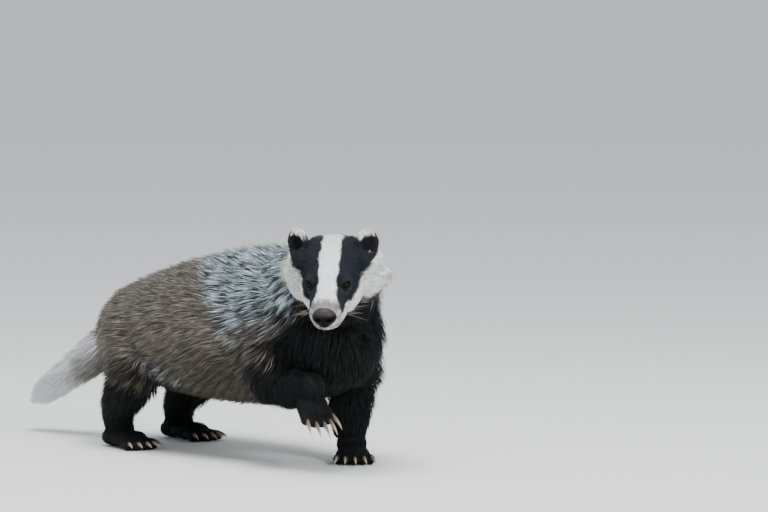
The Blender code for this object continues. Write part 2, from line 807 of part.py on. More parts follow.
def make_paws(nodes, into):
    """Builds the paws, joins each to its leg, clears the chest round them and fits the claws."""
    plans = (
        ("foreleg_left", planted(FORE_LEFT, 0.004, -35), FORE_PAD, FORE_TOE_ROOT, FORE_CLAW, 1),
        ("foreleg_right", hanging(FORE_RIGHT, (0.74, 0.06, -0.67)), FORE_PAD, FORE_TOE_ROOT, FORE_CLAW, -1),
        ("hindleg_left", planted(HIND_LEFT, 0.004, 4), HIND_PAD, HIND_TOE_ROOT, HIND_CLAW, 1),
        ("hindleg_right", planted(HIND_RIGHT, 0.004, -4), HIND_PAD, HIND_TOE_ROOT, HIND_CLAW, -1),
    )
    for name, frame, pad, toe_root, claw_length, side in plans:
        made, claws = paw(frame, pad, toe_root, claw_length, name.replace("leg", ""), side, into)
        leg = nodes[name]
        for other in ("torso", "neck"):
            combine(nodes[other], "DIFFERENCE", [copy_of(made, into, GAP)])
            keep_largest(nodes[other])
        combine(leg, "UNION", [made])
        combine(leg, "DIFFERENCE", [copy_of(claw, into, GAP * 1.3) for claw in claws])
        keep_largest(leg)


def slot_of(name):
    if name in ("torso", "neck"):
        return "coat_grey"
    if name == "tail":
        return "coat_tail"
    if name == "head":
        return "coat_head"
    if name == "nose":
        return "nose_skin"
    if name.startswith("eye"):
        return "eye_glass"
    if name.startswith("claw"):
        return "claw_horn"
    return "coat_black"


def main():
    clear_scene()
    badger = collection("badger")
    random.seed(16)
    whole = fused("body", body_masses(badger), 0.005, 8, 4600, badger)
    surface = skin_of(whole)
    ruff = ruff_locks(surface, badger)
    ruff_twins = [copy_of(piece, badger) for piece in ruff]
    locks = ruff + trunk_locks(surface, badger) + tail_tuft(surface, badger)
    rise = NECK_COAT * CORE_INSET
    locks += ring_locks(surface, NECK, (0.64, 0.30), NECK_LOCKS, neck_lie, rise, badger)
    rise = TAIL_COAT * CORE_INSET
    locks += ring_locks(surface, TAIL, (0.30, 0.55, 0.80), TAIL_LOCKS, tail_lie, rise, badger)
    combine(whole, "UNION", locks)
    thinned(keep_largest(whole), 7200)
    nodes = part_body(whole, badger)
    make_paws(nodes, badger)
    make_head(ruff_twins, badger)
    for obj in badger.objects:
        obj.data.transform(Matrix.Translation(-BOX_MIDDLE))
        give_material(obj, slot_of(obj.name))


main()
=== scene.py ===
"""A European badger: skin, coat, eyes, nose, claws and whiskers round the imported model, on a lit floor.

Everything is made in metres in the numbers' own frame, and moved by the middle of the model's box at the end.
The coat is made of thin tapered tufts that follow the lie of the fur, joined into meshes by region.
"""

import math
from collections import namedtuple

import bmesh
import bpy
import numpy as np
from mathutils import Matrix, Vector
from mathutils.bvhtree import BVHTree
from mathutils.kdtree import KDTree


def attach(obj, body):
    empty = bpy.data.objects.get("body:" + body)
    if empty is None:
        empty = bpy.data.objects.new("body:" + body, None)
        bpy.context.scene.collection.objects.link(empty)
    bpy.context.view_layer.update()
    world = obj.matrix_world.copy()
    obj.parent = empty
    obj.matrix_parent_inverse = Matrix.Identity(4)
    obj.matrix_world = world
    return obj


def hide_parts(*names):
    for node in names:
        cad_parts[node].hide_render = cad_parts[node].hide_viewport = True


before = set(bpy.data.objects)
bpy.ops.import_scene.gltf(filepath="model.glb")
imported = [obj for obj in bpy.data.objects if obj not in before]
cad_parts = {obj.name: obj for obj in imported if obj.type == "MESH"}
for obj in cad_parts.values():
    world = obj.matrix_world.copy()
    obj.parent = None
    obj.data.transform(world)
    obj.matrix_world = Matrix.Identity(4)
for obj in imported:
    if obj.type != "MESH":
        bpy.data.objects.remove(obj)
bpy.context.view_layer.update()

# The middle of the box round the whole model, in the frame of the numbers below, and the move to zero.
BOX_MIDDLE = Vector((-0.0516, -0.0056, 0.0))
HOME = Matrix.Translation(-BOX_MIDDLE)

# The trunk: x, back line, belly line and half width of the coat's outline, from rump to chest.
TRUNK = (
    (-0.27, 0.182, 0.13, 0.02),
    (-0.26, 0.198, 0.112, 0.042),
    (-0.24, 0.214, 0.098, 0.066),
    (-0.205, 0.231, 0.085, 0.093),
    (-0.15, 0.249, 0.077, 0.109),
    (-0.07, 0.272, 0.071, 0.116),
    (0.01, 0.287, 0.069, 0.112),
    (0.08, 0.293, 0.072, 0.104),
    (0.14, 0.295, 0.079, 0.096),
    (0.19, 0.288, 0.092, 0.091),
    (0.228, 0.268, 0.112, 0.078),
    (0.252, 0.243, 0.138, 0.056),
    (0.262, 0.22, 0.165, 0.028),
)
# Neck and tail: a point on the axis, half width and half height of the outline.
NECK = (
    ((0.13, 0.0, 0.2), 0.088, 0.088),
    ((0.185, -0.006, 0.228), 0.084, 0.084),
    ((0.23, -0.023, 0.258), 0.072, 0.072),
    ((0.253, -0.038, 0.276), 0.052, 0.052),
)
TAIL = (
    ((-0.215, 0.0, 0.168), 0.034, 0.032),
    ((-0.262, -0.009, 0.142), 0.035, 0.031),
    ((-0.305, -0.016, 0.117), 0.032, 0.029),
    ((-0.365, -0.023, 0.083), 0.026, 0.023),
    ((-0.405, -0.027, 0.06), 0.019, 0.017),
)
TAIL_AXIS = tuple((point, half_width) for point, half_width, _ in TAIL)
# Limbs, from the top down: joints and radii of the outline.
FORE_LEFT = (
    ((0.15, 0.06, 0.185), 0.04),
    ((0.158, 0.069, 0.14), 0.038),
    ((0.153, 0.072, 0.105), 0.037),
    ((0.163, 0.06, 0.065), 0.03),
    ((0.169, 0.055, 0.034), 0.0235),
)
FORE_RIGHT = (
    ((0.15, -0.056, 0.185), 0.04),
    ((0.158, -0.07, 0.14), 0.037),
    ((0.165, -0.079, 0.116), 0.033),
    ((0.2, -0.071, 0.109), 0.0285),
    ((0.226, -0.063, 0.11), 0.023),
)
HIND_LEFT = (
    ((-0.175, 0.055, 0.16), 0.05),
    ((-0.15, 0.07, 0.118), 0.046),
    ((-0.186, 0.072, 0.085), 0.035),
    ((-0.222, 0.067, 0.052), 0.025),
    ((-0.222, 0.065, 0.028), 0.022),
)
HIND_RIGHT = (
    ((-0.165, -0.055, 0.16), 0.05),
    ((-0.125, -0.072, 0.118), 0.046),
    ((-0.155, -0.074, 0.085), 0.035),
    ((-0.187, -0.069, 0.052), 0.025),
    ((-0.187, -0.067, 0.028), 0.022),
)
LIMBS = (FORE_LEFT, FORE_RIGHT, HIND_LEFT, HIND_RIGHT)
# Shoulder and haunch: centre and radii of a ball on each side.
SHOULDER = ((0.146, 0.062, 0.172), (0.058, 0.036, 0.08))
HAUNCH = ((-0.16, 0.054, 0.15), (0.064, 0.048, 0.076))

# Depth of the coat, from the skin to the outline.
TRUNK_COAT = 0.022
BELLY_COAT = 0.009
NECK_COAT = 0.02
TAIL_COAT = 0.014
LIMB_COATS = (0.013, 0.011, 0.009, 0.0055, 0.0035)
PAW_COAT = 0.0012
FACE_COAT = 0.0035
CHEEK_COAT = 0.0085

# The head's own frame: F to the nose, S to the animal's left and U up, from the middle of the skull.
HEAD = Vector((0.268, -0.0555, 0.279))
HEAD_YAW = math.radians(-47.5)
HEAD_PITCH = math.radians(-31.0)
# Balls of the skull: centre, and radii with the coat.
SKULL = (
    ((0.0, 0, 0.0), (0.052, 0.047, 0.0375)),
    ((0.028, 0, 0.003), (0.036, 0.034, 0.027)),
    ((0.012, 0, -0.034), (0.046, 0.036, 0.022)),
)
# Balls of the left side, mirrored on the right: centre, and radii of the skin.
HEAD_SIDE = (
    ((0.044, 0.023, 0.008), (0.0135, 0.008, 0.0062)),
    ((-0.006, 0.042, 0.005), (0.026, 0.0155, 0.026)),
    ((0.028, 0.0265, -0.019), (0.03, 0.014, 0.02)),
    ((0.028, 0.0225, -0.029), (0.03, 0.013, 0.0155)),
    ((-0.004, 0.02, 0.0105), (0.034, 0.0215, 0.0205)),
)
CHEEK = Vector((-0.004, 0.037, -0.023))
CHEEK_RADII = Vector((0.04, 0.032, 0.037))
# Muzzle and jaw: a point on the axis, half width and half height of the outline.
MUZZLE = (
    ((0.018, 0, -0.004), 0.038, 0.032),
    ((0.045, 0, -0.007), 0.029, 0.0265),
    ((0.068, 0, -0.01), 0.024, 0.022),
    ((0.09, 0, -0.012), 0.023, 0.0195),
    ((0.102, 0, -0.0125), 0.0205, 0.0175),
    ((0.107, 0, -0.013), 0.015, 0.0125),
)
JAW = (
    ((0.01, 0, -0.036), 0.026, 0.016),
    ((0.05, 0, -0.0335), 0.019, 0.0125),
    ((0.078, 0, -0.032), 0.015, 0.0095),
    ((0.091, 0, -0.0305), 0.009, 0.006),
)
# The line of the mouth, from its left corner to the front.
MOUTH = (
    (0.04, 0.0285, -0.0265),
    (0.06, 0.0235, -0.0262),
    (0.08, 0.0195, -0.0268),
    (0.094, 0.015, -0.0272),
    (0.101, 0.008, -0.027),
    (0.1025, 0.0, -0.0268),
)
MOUTH_DEPTH = 0.005
MOUTH_WIDTH = 0.0006
# The lips' height above and below that line.
LIP_RISES = (0.0024, -0.003)
NOSE = Vector((0.1045, 0.0, -0.0095))
NOSE_RADII = Vector((0.012, 0.0165, 0.0125))
NOSTRIL = Vector((0.0105, 0.0066, 0.001))
EYE = Vector((0.0522, 0.0213, 0.0053))
EYE_RADIUS = 0.0068
EYE_LOOK = Vector((0.66, 0.58, 0.42))
EYE_OPENING = Vector((0.008, 0.0059, 0.0047))
# Where iris and pupil begin and are full, from the axis of the eye.
IRIS_EDGE = (0.0048, 0.0034)
PUPIL_EDGE = (0.0031, 0.0019)
# How far the clear front bulges.
CORNEA = 0.0007
LID = 0.0011
SOCKET_GAP = 0.00015
EAR = Vector((-0.01, 0.046, 0.0275))
EAR_SKIN = Vector((0.0082, 0.0158, 0.0192))
EAR_LOOK = Vector((0.8, 0.42, 0.1))
EAR_CUP = Vector((0.0088, 0.0118, 0.015))
EAR_CUP_PLACE = (0.0078, 0, 0.001)
EAR_BASE = (-0.002, -0.002, -0.012)
EAR_BASE_RADII = (0.01, 0.014, 0.013)

# Paws in their own frame: X along the toes, Z to the back of the paw, the sole at zero.
FORE_PAD = (
    ((-0.002, 0, 0.024), (0.021, 0.02, 0.024)),
    ((0.014, 0, 0.013), (0.026, 0.023, 0.014)),
)
HIND_PAD = (
    ((-0.002, 0, 0.024), (0.02, 0.02, 0.024)),
    ((-0.012, 0, 0.013), (0.022, 0.019, 0.014)),
    ((0.02, 0, 0.012), (0.036, 0.023, 0.013)),
)
# Each toe: sideways place, the tip's place ahead of the toe's root, and its turn outwards.
TOES = (
    (-0.019, 0.012, -14),
    (-0.01, 0.019, -6),
    (0.0, 0.022, 0),
    (0.01, 0.02, 6),
    (0.019, 0.014, 14),
)
TOE_RADIUS = 0.0068
FORE_TOE_ROOT = 0.022
HIND_TOE_ROOT = 0.04
FORE_CLAW = 0.023
HIND_CLAW = 0.014
CLAW_RADIUS = 0.003

# Voxel sizes of the skin's parts.
BODY_VOXEL = 0.0036
HEAD_VOXEL = 0.0015
PAW_VOXEL = 0.0018
NOSE_VOXEL = 0.0008

# Half width of the white stripe, and the lower edges of the black stripe and of the cheek: F and U.
STRIPE = 0.0126
BLACK_EDGE = (
    (-0.06, -0.03),
    (-0.035, -0.006),
    (-0.02, 0.008),
    (0.0, 0.014),
    (0.01, 0.0145),
    (0.018, 0.007),
    (0.025, -0.004),
    (0.035, -0.008),
    (0.048, -0.0105),
    (0.057, -0.0165),
    (0.065, -0.0215),
    (0.078, -0.0225),
    (0.087, -0.016),
    (0.095, -0.0105),
    (0.11, -0.009),
)
CHEEK_EDGE = (
    (-0.06, -0.048),
    (-0.02, -0.055),
    (0.0, -0.05),
    (0.015, -0.046),
    (0.03, -0.0455),
    (0.045, -0.043),
    (0.07, -0.0335),
    (0.085, -0.03),
    (0.11, -0.034),
)

# The coat by region: seed, number of tufts, spacing of their clumps, length of hair before it varies, least
# and greatest width, and the most tufts in one piece.
Fur = namedtuple("Fur", "seed tufts spacing hair widths limit")
TRUNK_FUR = Fur(21, 50000, 0.0075, 0.042, (0.00085, 0.00135), 12500)
LIMB_FUR = Fur(22, 15000, 0.0055, 0.034, (0.0006, 0.00095), 21000)
TAIL_FUR = Fur(23, 8500, 0.0075, 0.06, (0.0009, 0.0014), 12500)
HEAD_FUR = Fur(24, 52000, 0.0042, 0.0038, (0.00038, 0.0006), 21000)
SIDE_WHISKERS = 13
CHIN_WHISKERS = 6
WHISKER_WIDTH = 0.00022
WHISKER_SEED = 25
# How deep the roots sit, how far hairs stay off the floor, the side of a tuft's patch of the map, and the
# share of its width at each ring.
ROOT_SINK = 0.0008
ABOVE_FLOOR = 0.0006
PATCH = 0.003
TAPER = {2: (0.85, 0.9), 3: (0.7, 1.0, 0.72)}
# The way that the tail's hairs point.
TAIL_WAY = (-0.86, -0.1, -0.5)

# Colours, linear. The face first.
WHITE = (0.925, 0.955, 0.97)
CHEEK_WHITE = (0.9, 0.89, 0.85)
LIP_BEIGE = (0.3, 0.265, 0.24)
# Black fur; its bluish cast is painted sky reflection.
BLACK = (0.0125, 0.0172, 0.024)
WARM_BLACK = (0.013, 0.0115, 0.0105)
MUZZLE_BROWN = (0.15, 0.13, 0.118)
# Dark brown under the cheeks: the jaw's own colour and painted shadow under the cheek.
JAW_BROWN_AND_SHADOW = (0.1, 0.075, 0.06)
EYE_FRINGE = (0.06, 0.072, 0.088)
NAPE_GREY = (0.3, 0.33, 0.36)
EAR_TIP = (0.9, 0.9, 0.89)
EAR_INSIDE = (0.03, 0.022, 0.02)
LID_SKIN = (0.0075, 0.0062, 0.0058)
LIP_SKIN = (0.03, 0.02, 0.018)
# The body's hairs: under part, dark band and tip.
GREY_HAIR = ((0.232, 0.206, 0.172), (0.12, 0.105, 0.086), (0.3, 0.278, 0.24))
LOWER_HAIR = ((0.088, 0.074, 0.057), (0.05, 0.042, 0.032), (0.13, 0.114, 0.09))
# The frosted hairs' white tips, with a cool cast of painted sky light.
FROSTED_HAIR_AND_SKY_CAST = ((0.17, 0.19, 0.212), (0.02, 0.026, 0.034), (0.74, 0.85, 0.94))
BLACK_HAIR = ((0.006, 0.0058, 0.006), (0.006, 0.0066, 0.0076), (0.015, 0.0148, 0.0158))
LIMB_BLACK = (0.0062, 0.0066, 0.0076)
TAIL_ROOT = (0.165, 0.133, 0.11)
TAIL_WHITE = (0.91, 0.94, 0.955)
WHISKER = (0.4, 0.38, 0.35)
# Eye, nose and claws.
EYE_DARK = (0.004, 0.003, 0.003)
IRIS = (0.0065, 0.0035, 0.0022)
PUPIL = (0.002, 0.002, 0.002)
NOSE_UNDER = (0.0026, 0.0016, 0.0012)
# The nose's grey top is a painted sheen.
NOSE_TOP_SHEEN = (0.034, 0.031, 0.032)
CLAW_ROOT = (0.085, 0.06, 0.042)
CLAW_TIP = (0.42, 0.35, 0.25)

# The camera, which sees 740 pixels in a metre at the model, and the light.
CAMERA_AZIMUTH = math.radians(40.0)
CAMERA_ELEVATION = math.radians(4.3)
CAMERA_DISTANCE = 8.0
PIXELS_IN_METRE = 740.0
PICTURE_WIDTH = 768.0
SENSOR = 36.0
FLOOR_COLOUR = (0.7, 0.7, 0.68, 1.0)
SKY_COLOUR = (0.78, 0.84, 0.9, 1.0)
SKY_STRENGTH = 1.12
LAMP_COLOUR = (1.0, 0.99, 0.97)
KEY_POWER = 130.0
FILL_POWER = 100.0


# Placing and shaping


def looking(point, direction, up=(0, 0, 1)):
    """A frame at point whose X follows direction and whose Z leans to up."""
    x = Vector(direction).normalized()
    y = Vector(up).cross(x).normalized()
    turn = Matrix((x, y, x.cross(y))).transposed().to_4x4()
    return Matrix.Translation(Vector(point)) @ turn


def sided(point, side):
    """The point itself for side 1, the left, and its mirror image for side -1."""
    x, y, z = point
    return Vector((x, side * y, z))


HEAD_FRAME = (
    Matrix.Translation(HEAD)
    @ Matrix.Rotation(HEAD_YAW, 4, "Z")
    @ Matrix.Rotation(-HEAD_PITCH, 4, "Y")
)


def ear_frame(side):
    return HEAD_FRAME @ looking(sided(EAR, side), sided(EAR_LOOK, side))


def eye_frame(side, ahead=0.0):
    """The frame of an eye, moved ahead along its look."""
    look = sided(EYE_LOOK, side).normalized()
    return HEAD_FRAME @ looking(sided(EYE, side) + look * ahead, look)


def new_object(name, mesh):
    obj = bpy.data.objects.new(name, mesh)
    bpy.context.scene.collection.objects.link(obj)
    return obj


def from_bmesh(name, bm):
    mesh = bpy.data.meshes.new(name)
    bm.to_mesh(mesh)
    bm.free()
    return new_object(name, mesh)


def drop(obj):
    mesh = obj.data
    bpy.data.objects.remove(obj, do_unlink=True)
    bpy.data.meshes.remove(mesh)


def applied(obj):
    """Replaces obj's mesh by what its modifiers make of it."""
    bpy.context.view_layer.update()
    graph = bpy.context.evaluated_depsgraph_get()
    made = bpy.data.meshes.new_from_object(obj.evaluated_get(graph))
    old = obj.data
    obj.modifiers.clear()
    obj.data = made
    bpy.data.meshes.remove(old)
    return obj


def settle(obj, place):
    """Moves obj's mesh from the frame called place into the world."""
    obj.data.transform(place)
    return obj


def loft(sections, sides=28, up=(0, 0, 1), tip=0.0):
    """A closed tube of oval rings. A section is a point, half width and half height."""
    bm = bmesh.new()
    points = [Vector(point) for point, _, _ in sections]
    rings = []
    for i, (_, half_width, half_height) in enumerate(sections):
        ahead = points[min(i + 1, len(points) - 1)] - points[max(i - 1, 0)]
        side = Vector(up).cross(ahead).normalized()
        rise = ahead.cross(side).normalized()
        corners = []
        for k in range(sides):
            angle = math.tau * k / sides
            offset = side * half_width * math.cos(angle) + rise * half_height * math.sin(angle)
            corners.append(bm.verts.new(points[i] + offset))
        rings.append(corners)
    for low, high in zip(rings, rings[1:]):
        for k in range(sides):
            j = (k + 1) % sides
            bm.faces.new((low[k], low[j], high[j], high[k]))
    bm.faces.new(list(reversed(rings[0])))
    if tip:
        apex = bm.verts.new(points[-1] + (points[-1] - points[-2]) * tip)
        for k in range(sides):
            bm.faces.new((rings[-1][k], rings[-1][(k + 1) % sides], apex))
    else:
        bm.faces.new(rings[-1])
    bmesh.ops.recalc_face_normals(bm, faces=bm.faces)
    return from_bmesh("loft", bm)


def in_order(obj):
    """Puts the faces of obj in an order that is the same in every run."""
    mesh = obj.data
    points = [tuple(vertex.co) for vertex in mesh.vertices]
    faces = [tuple(face.vertices) for face in mesh.polygons]
    mesh.clear_geometry()
    mesh.from_pydata(points, [], sorted(faces))
    return obj


def ball(centre, radii, place=Matrix.Identity(4), segments=32, rows=20):
    bm = bmesh.new()
    bmesh.ops.create_uvsphere(bm, u_segments=segments, v_segments=rows, radius=1.0)
    spot = place @ Matrix.Translation(Vector(centre)) @ Matrix.Diagonal((*radii, 1.0))
    bmesh.ops.transform(bm, matrix=spot, verts=bm.verts)
    return in_order(from_bmesh("ball", bm))


def floor_box(place):
    """A block whose top is the plane of a paw's sole."""
    bm = bmesh.new()
    bmesh.ops.create_cube(bm, size=2.0)
    spot = place @ Matrix.Translation((0, 0, -0.05)) @ Matrix.Diagonal((0.2, 0.2, 0.05, 1.0))
    bmesh.ops.transform(bm, matrix=spot, verts=bm.verts)
    return from_bmesh("box", bm)


def joined(name, pieces):
    bm = bmesh.new()
    for piece in pieces:
        bm.from_mesh(piece.data)
        drop(piece)
    return from_bmesh(name, bm)


def fused(name, pieces, voxel, rounds):
    """One closed surface round all pieces, smoothed that many times."""
    obj = joined(name, pieces)
    remesh = obj.modifiers.new("fuse", "REMESH")
    remesh.mode = "VOXEL"
    remesh.voxel_size = voxel
    blend = obj.modifiers.new("blend", "SMOOTH")
    blend.factor = 0.5
    blend.iterations = rounds
    return applied(obj)


def combine(obj, operation, others):
    """Applies one Boolean of obj with all others, which are then removed."""
    operands = bpy.data.collections.new("operands")
    bpy.context.scene.collection.children.link(operands)
    for other in others:
        bpy.context.scene.collection.objects.unlink(other)
        operands.objects.link(other)
    step = obj.modifiers.new("combine", "BOOLEAN")
    step.operation = operation
    step.solver = "MANIFOLD"
    step.operand_type = "COLLECTION"
    step.collection = operands
    applied(obj)
    for other in others:
        drop(other)
    bpy.data.collections.remove(operands)
    return obj


def shade_smooth(obj):
    obj.data.polygons.foreach_set("use_smooth", [True] * len(obj.data.polygons))
    obj.data.update()
    return obj


def values(items, name, wide, kind=float):
    """What each item of a mesh's data has under that name, in rows of that width."""
    rows = np.empty(len(items) * wide, kind)
    items.foreach_get(name, rows)
    return rows.reshape(-1, wide)


# Sums on rows, with one place or direction in each row


def norm(rows):
    """The length of each row."""
    return np.linalg.norm(rows, axis=-1)


def unit(rows):
    return rows / np.maximum(np.linalg.norm(rows, axis=-1, keepdims=True), 1e-9)


def dot(a, b):
    return np.sum(a * b, axis=-1, keepdims=True)


def smooth(value, start, end):
    """0 before start and 1 after end, with a soft step between. Start may be the larger one."""
    t = np.clip((value - start) / (end - start), 0.0, 1.0)
    return t * t * (3.0 - 2.0 * t)


def mix(a, b, share):
    """a where share is 0, b where it is 1, for rows of colours or directions."""
    share = np.asarray(share)[..., None]
    return np.asarray(a) * (1.0 - share) + np.asarray(b) * share


def waves(rows, size, seed):
    """A smooth irregular field from about -1 to 1, with swells of that size in metres."""
    draw = np.random.default_rng(seed)
    total = np.zeros(len(rows))
    for _ in range(7):
        way = unit(draw.normal(size=3))
        rate = math.tau / size * draw.uniform(0.6, 1.5)
        total += np.sin(rows @ way * rate + draw.uniform(0, math.tau))
    return total / 2.6


def swirl(rows, size, seed):
    """A slight irregular turn for directions at those places."""
    return 0.16 * np.stack([waves(rows, size, seed + k) for k in range(3)], 1)


def into_frame(place, rows):
    """Rows of world places in the frame called place."""
    back = np.array(place.inverted())
    return rows @ back[:3, :3].T + back[:3, 3]


def turned(place, rows):
    """Rows of directions in the frame called place, turned into the world."""
    return rows @ np.array(place)[:3, :3].T


def to_limb(rows, joints):
    """Each place's share of the way down a limb, its distance in radii, and the limb's direction there."""
    points = np.array([point for point, _ in joints])
    radii = np.array([radius for _, radius in joints])
    best = np.full(len(rows), 1e9)
    share = np.zeros(len(rows))
    way = np.zeros((len(rows), 3))
    for i in range(len(points) - 1):
        run = points[i + 1] - points[i]
        t = np.clip((rows - points[i]) @ run / (run @ run), 0.0, 1.0)
        ratio = norm(rows - points[i] - t[:, None] * run) / (radii[i] * (1 - t) + radii[i + 1] * t)
        closer = ratio < best
        best = np.where(closer, ratio, best)
        share = np.where(closer, (i + t) / (len(points) - 1), share)
        way[closer] = run / norm(run)
    return share, best, way


# The skin


def trunk_sections():
    last = len(TRUNK) - 1
    sections = []
    for i, (x, back, belly, half_width) in enumerate(TRUNK):
        x += TRUNK_COAT * {0: 1.0, 1: 0.6, last - 1: -0.6, last: -1.0}.get(i, 0.0)
        top = back - TRUNK_COAT
        low = belly + BELLY_COAT
        wide = max(half_width - TRUNK_COAT, half_width * 0.35)
        sections.append(((x, 0, (top + low) / 2), wide, max((top - low) / 2, 0.006)))
    return sections


def mouth_line():
    """The line of the mouth from the left corner round the front to the right corner."""
    return list(MOUTH) + [(f, -s, u) for f, s, u in reversed(MOUTH[:-1])]


def body_skin():
    pieces = [loft(trunk_sections(), sides=40)]
    pieces.append(loft([(p, w - NECK_COAT, h - NECK_COAT) for p, w, h in NECK], sides=36))
    tail = [(p, max(w - TAIL_COAT, w * 0.4), max(h - TAIL_COAT, h * 0.4)) for p, w, h in TAIL]
    pieces.append(loft(tail, sides=20, tip=0.5))
    for joints in LIMBS:
        sections = [(p, r - depth, r - depth) for (p, r), depth in zip(joints, LIMB_COATS)]
        pieces.append(loft(sections, sides=20, up=(1, 0, 0.2)))
    for side in (1, -1):
        for centre, radii in (SHOULDER, HAUNCH):
            pieces.append(ball(sided(centre, side), [radius - TRUNK_COAT * 0.7 for radius in radii]))
    return fused("skin", pieces, BODY_VOXEL, 7)


def head_skin():
    """The head with brows, cheeks, muzzle, jaw, lips and ears, with lids, cups, sockets and mouth cut in."""
    pieces = []
    for centre, radii in SKULL:
        pieces.append(ball(centre, [radius - FACE_COAT for radius in radii], HEAD_FRAME))
    for side in (1, -1):
        pieces.append(ball(sided(CHEEK, side), CHEEK_RADII - Vector((1, 1, 1)) * CHEEK_COAT, HEAD_FRAME))
        for centre, radii in HEAD_SIDE:
            pieces.append(ball(sided(centre, side), radii, HEAD_FRAME))
        pieces.append(ball((0, 0, 0), EAR_SKIN, ear_frame(side)))
        pieces.append(ball(sided(EAR_BASE, side), EAR_BASE_RADII, ear_frame(side)))
    for sections, depth in ((MUZZLE, 0.0014), (JAW, 0.0012)):
        pieces.append(settle(loft([(p, w - depth, h - depth) for p, w, h in sections]), HEAD_FRAME))
    for rise in LIP_RISES:
        rim = [((f, s * 0.985, u + rise), 0.0022, 0.0019) for f, s, u in mouth_line()]
        pieces.append(settle(loft(rim, sides=12), HEAD_FRAME))
    head = fused("head_skin", pieces, HEAD_VOXEL, 5)
    lids = []
    cuts = []
    for side in (1, -1):
        lids.append(ball(sided(EYE, side), [EYE_RADIUS + SOCKET_GAP + LID] * 3, HEAD_FRAME, 48, 32))
        cuts.append(ball(sided(EYE, side), [EYE_RADIUS + SOCKET_GAP] * 3, HEAD_FRAME, 48, 32))
        cuts.append(ball((0, 0, 0), EYE_OPENING, eye_frame(side, EYE_RADIUS), 40, 24))
        cuts.append(ball(EAR_CUP_PLACE, EAR_CUP, ear_frame(side)))
    combine(head, "UNION", lids)
    line = [(point, MOUTH_DEPTH, MOUTH_WIDTH) for point in mouth_line()]
    cuts.append(settle(loft(line, sides=8), HEAD_FRAME))
    return combine(head, "DIFFERENCE", cuts)


def planted(joints, ahead, yaw):
    """The frame of a paw that stands on the floor under the last joint."""
    x, y, _ = joints[-1][0]
    way = math.radians(yaw)
    return looking((x + ahead, y, 0), (math.cos(way), math.sin(way), 0))


def hanging(joints, direction):
    """The frame of a paw that hangs from the last joint."""
    turn = looking((0, 0, 0), direction, (1, 0, 0.4))
    return Matrix.Translation(Vector(joints[-1][0]) - turn @ Vector((-0.002, 0, 0.024))) @ turn


# The paws: name, frame, pads, roots of the toes, length of the claws, and side.
Paw = namedtuple("Paw", "name place pads toe_root claw side")
PAWS = (
    Paw("fore_left", planted(FORE_LEFT, 0.004, -35), FORE_PAD, FORE_TOE_ROOT, FORE_CLAW, 1),
    Paw("fore_right", hanging(FORE_RIGHT, (0.74, 0.06, -0.67)), FORE_PAD, FORE_TOE_ROOT, FORE_CLAW, -1),
    Paw("hind_left", planted(HIND_LEFT, 0.004, 4), HIND_PAD, HIND_TOE_ROOT, HIND_CLAW, 1),
    Paw("hind_right", planted(HIND_RIGHT, 0.004, -4), HIND_PAD, HIND_TOE_ROOT, HIND_CLAW, -1),
)


def toes_of(paw):
    """Root, tip and sideways turn of each toe, in the paw's frame."""
    for across, ahead, turn in TOES:
        across *= paw.side
        yaw = math.radians(turn * paw.side)
        way = Vector((math.cos(yaw), math.sin(yaw), 0))
        root = Vector((paw.toe_root - 0.014, across * 0.75, 0.0095))
        tip = Vector((paw.toe_root, across, 0.0075)) + way * ahead
        yield root, tip, yaw


def paw_skin(paw):
    place = paw.place
    pieces = []
    for centre, radii in paw.pads:
        pieces.append(ball(centre, [radius - PAW_COAT for radius in radii], place))
    radius = TOE_RADIUS - PAW_COAT * 0.6
    for root, tip, _ in toes_of(paw):
        toe = ((root, radius * 1.05, radius * 1.1), (tip, radius, radius * 0.95))
        pieces.append(settle(loft(toe, sides=16), place))
        pieces.append(ball(tip, (radius, radius, radius * 0.95), place, 20, 14))
        pad = Vector((tip.x - 0.001, tip.y, 0.0035))
        pieces.append(ball(pad, (0.0062, 0.0052, 0.0036), place, 16, 10))
    return combine(fused("paw", pieces, PAW_VOXEL, 3), "DIFFERENCE", [floor_box(place)])


def make_skin():
    """The whole skin as one closed surface of triangles."""
    skin = body_skin()
    for other in [head_skin()] + [paw_skin(paw) for paw in PAWS]:
        combine(skin, "UNION", [other])
    bm = bmesh.new()
    bm.from_mesh(skin.data)
    bmesh.ops.triangulate(bm, faces=bm.faces)
    bm.to_mesh(skin.data)
    bm.free()
    return shade_smooth(skin)


def unwrap(obj):
    """Unwraps obj by its own shape into a map called OFBake."""
    obj.data.uv_layers.new(name="OFBake")
    bpy.context.view_layer.update()
    for other in bpy.context.selected_objects:
        other.select_set(False)
    obj.select_set(True)
    bpy.context.view_layer.objects.active = obj
    bpy.ops.object.mode_set(mode="EDIT")
    bpy.ops.mesh.select_all(action="SELECT")
    bpy.ops.uv.smart_project(angle_limit=math.radians(66), island_margin=0.002)
    bpy.ops.object.mode_set(mode="OBJECT")


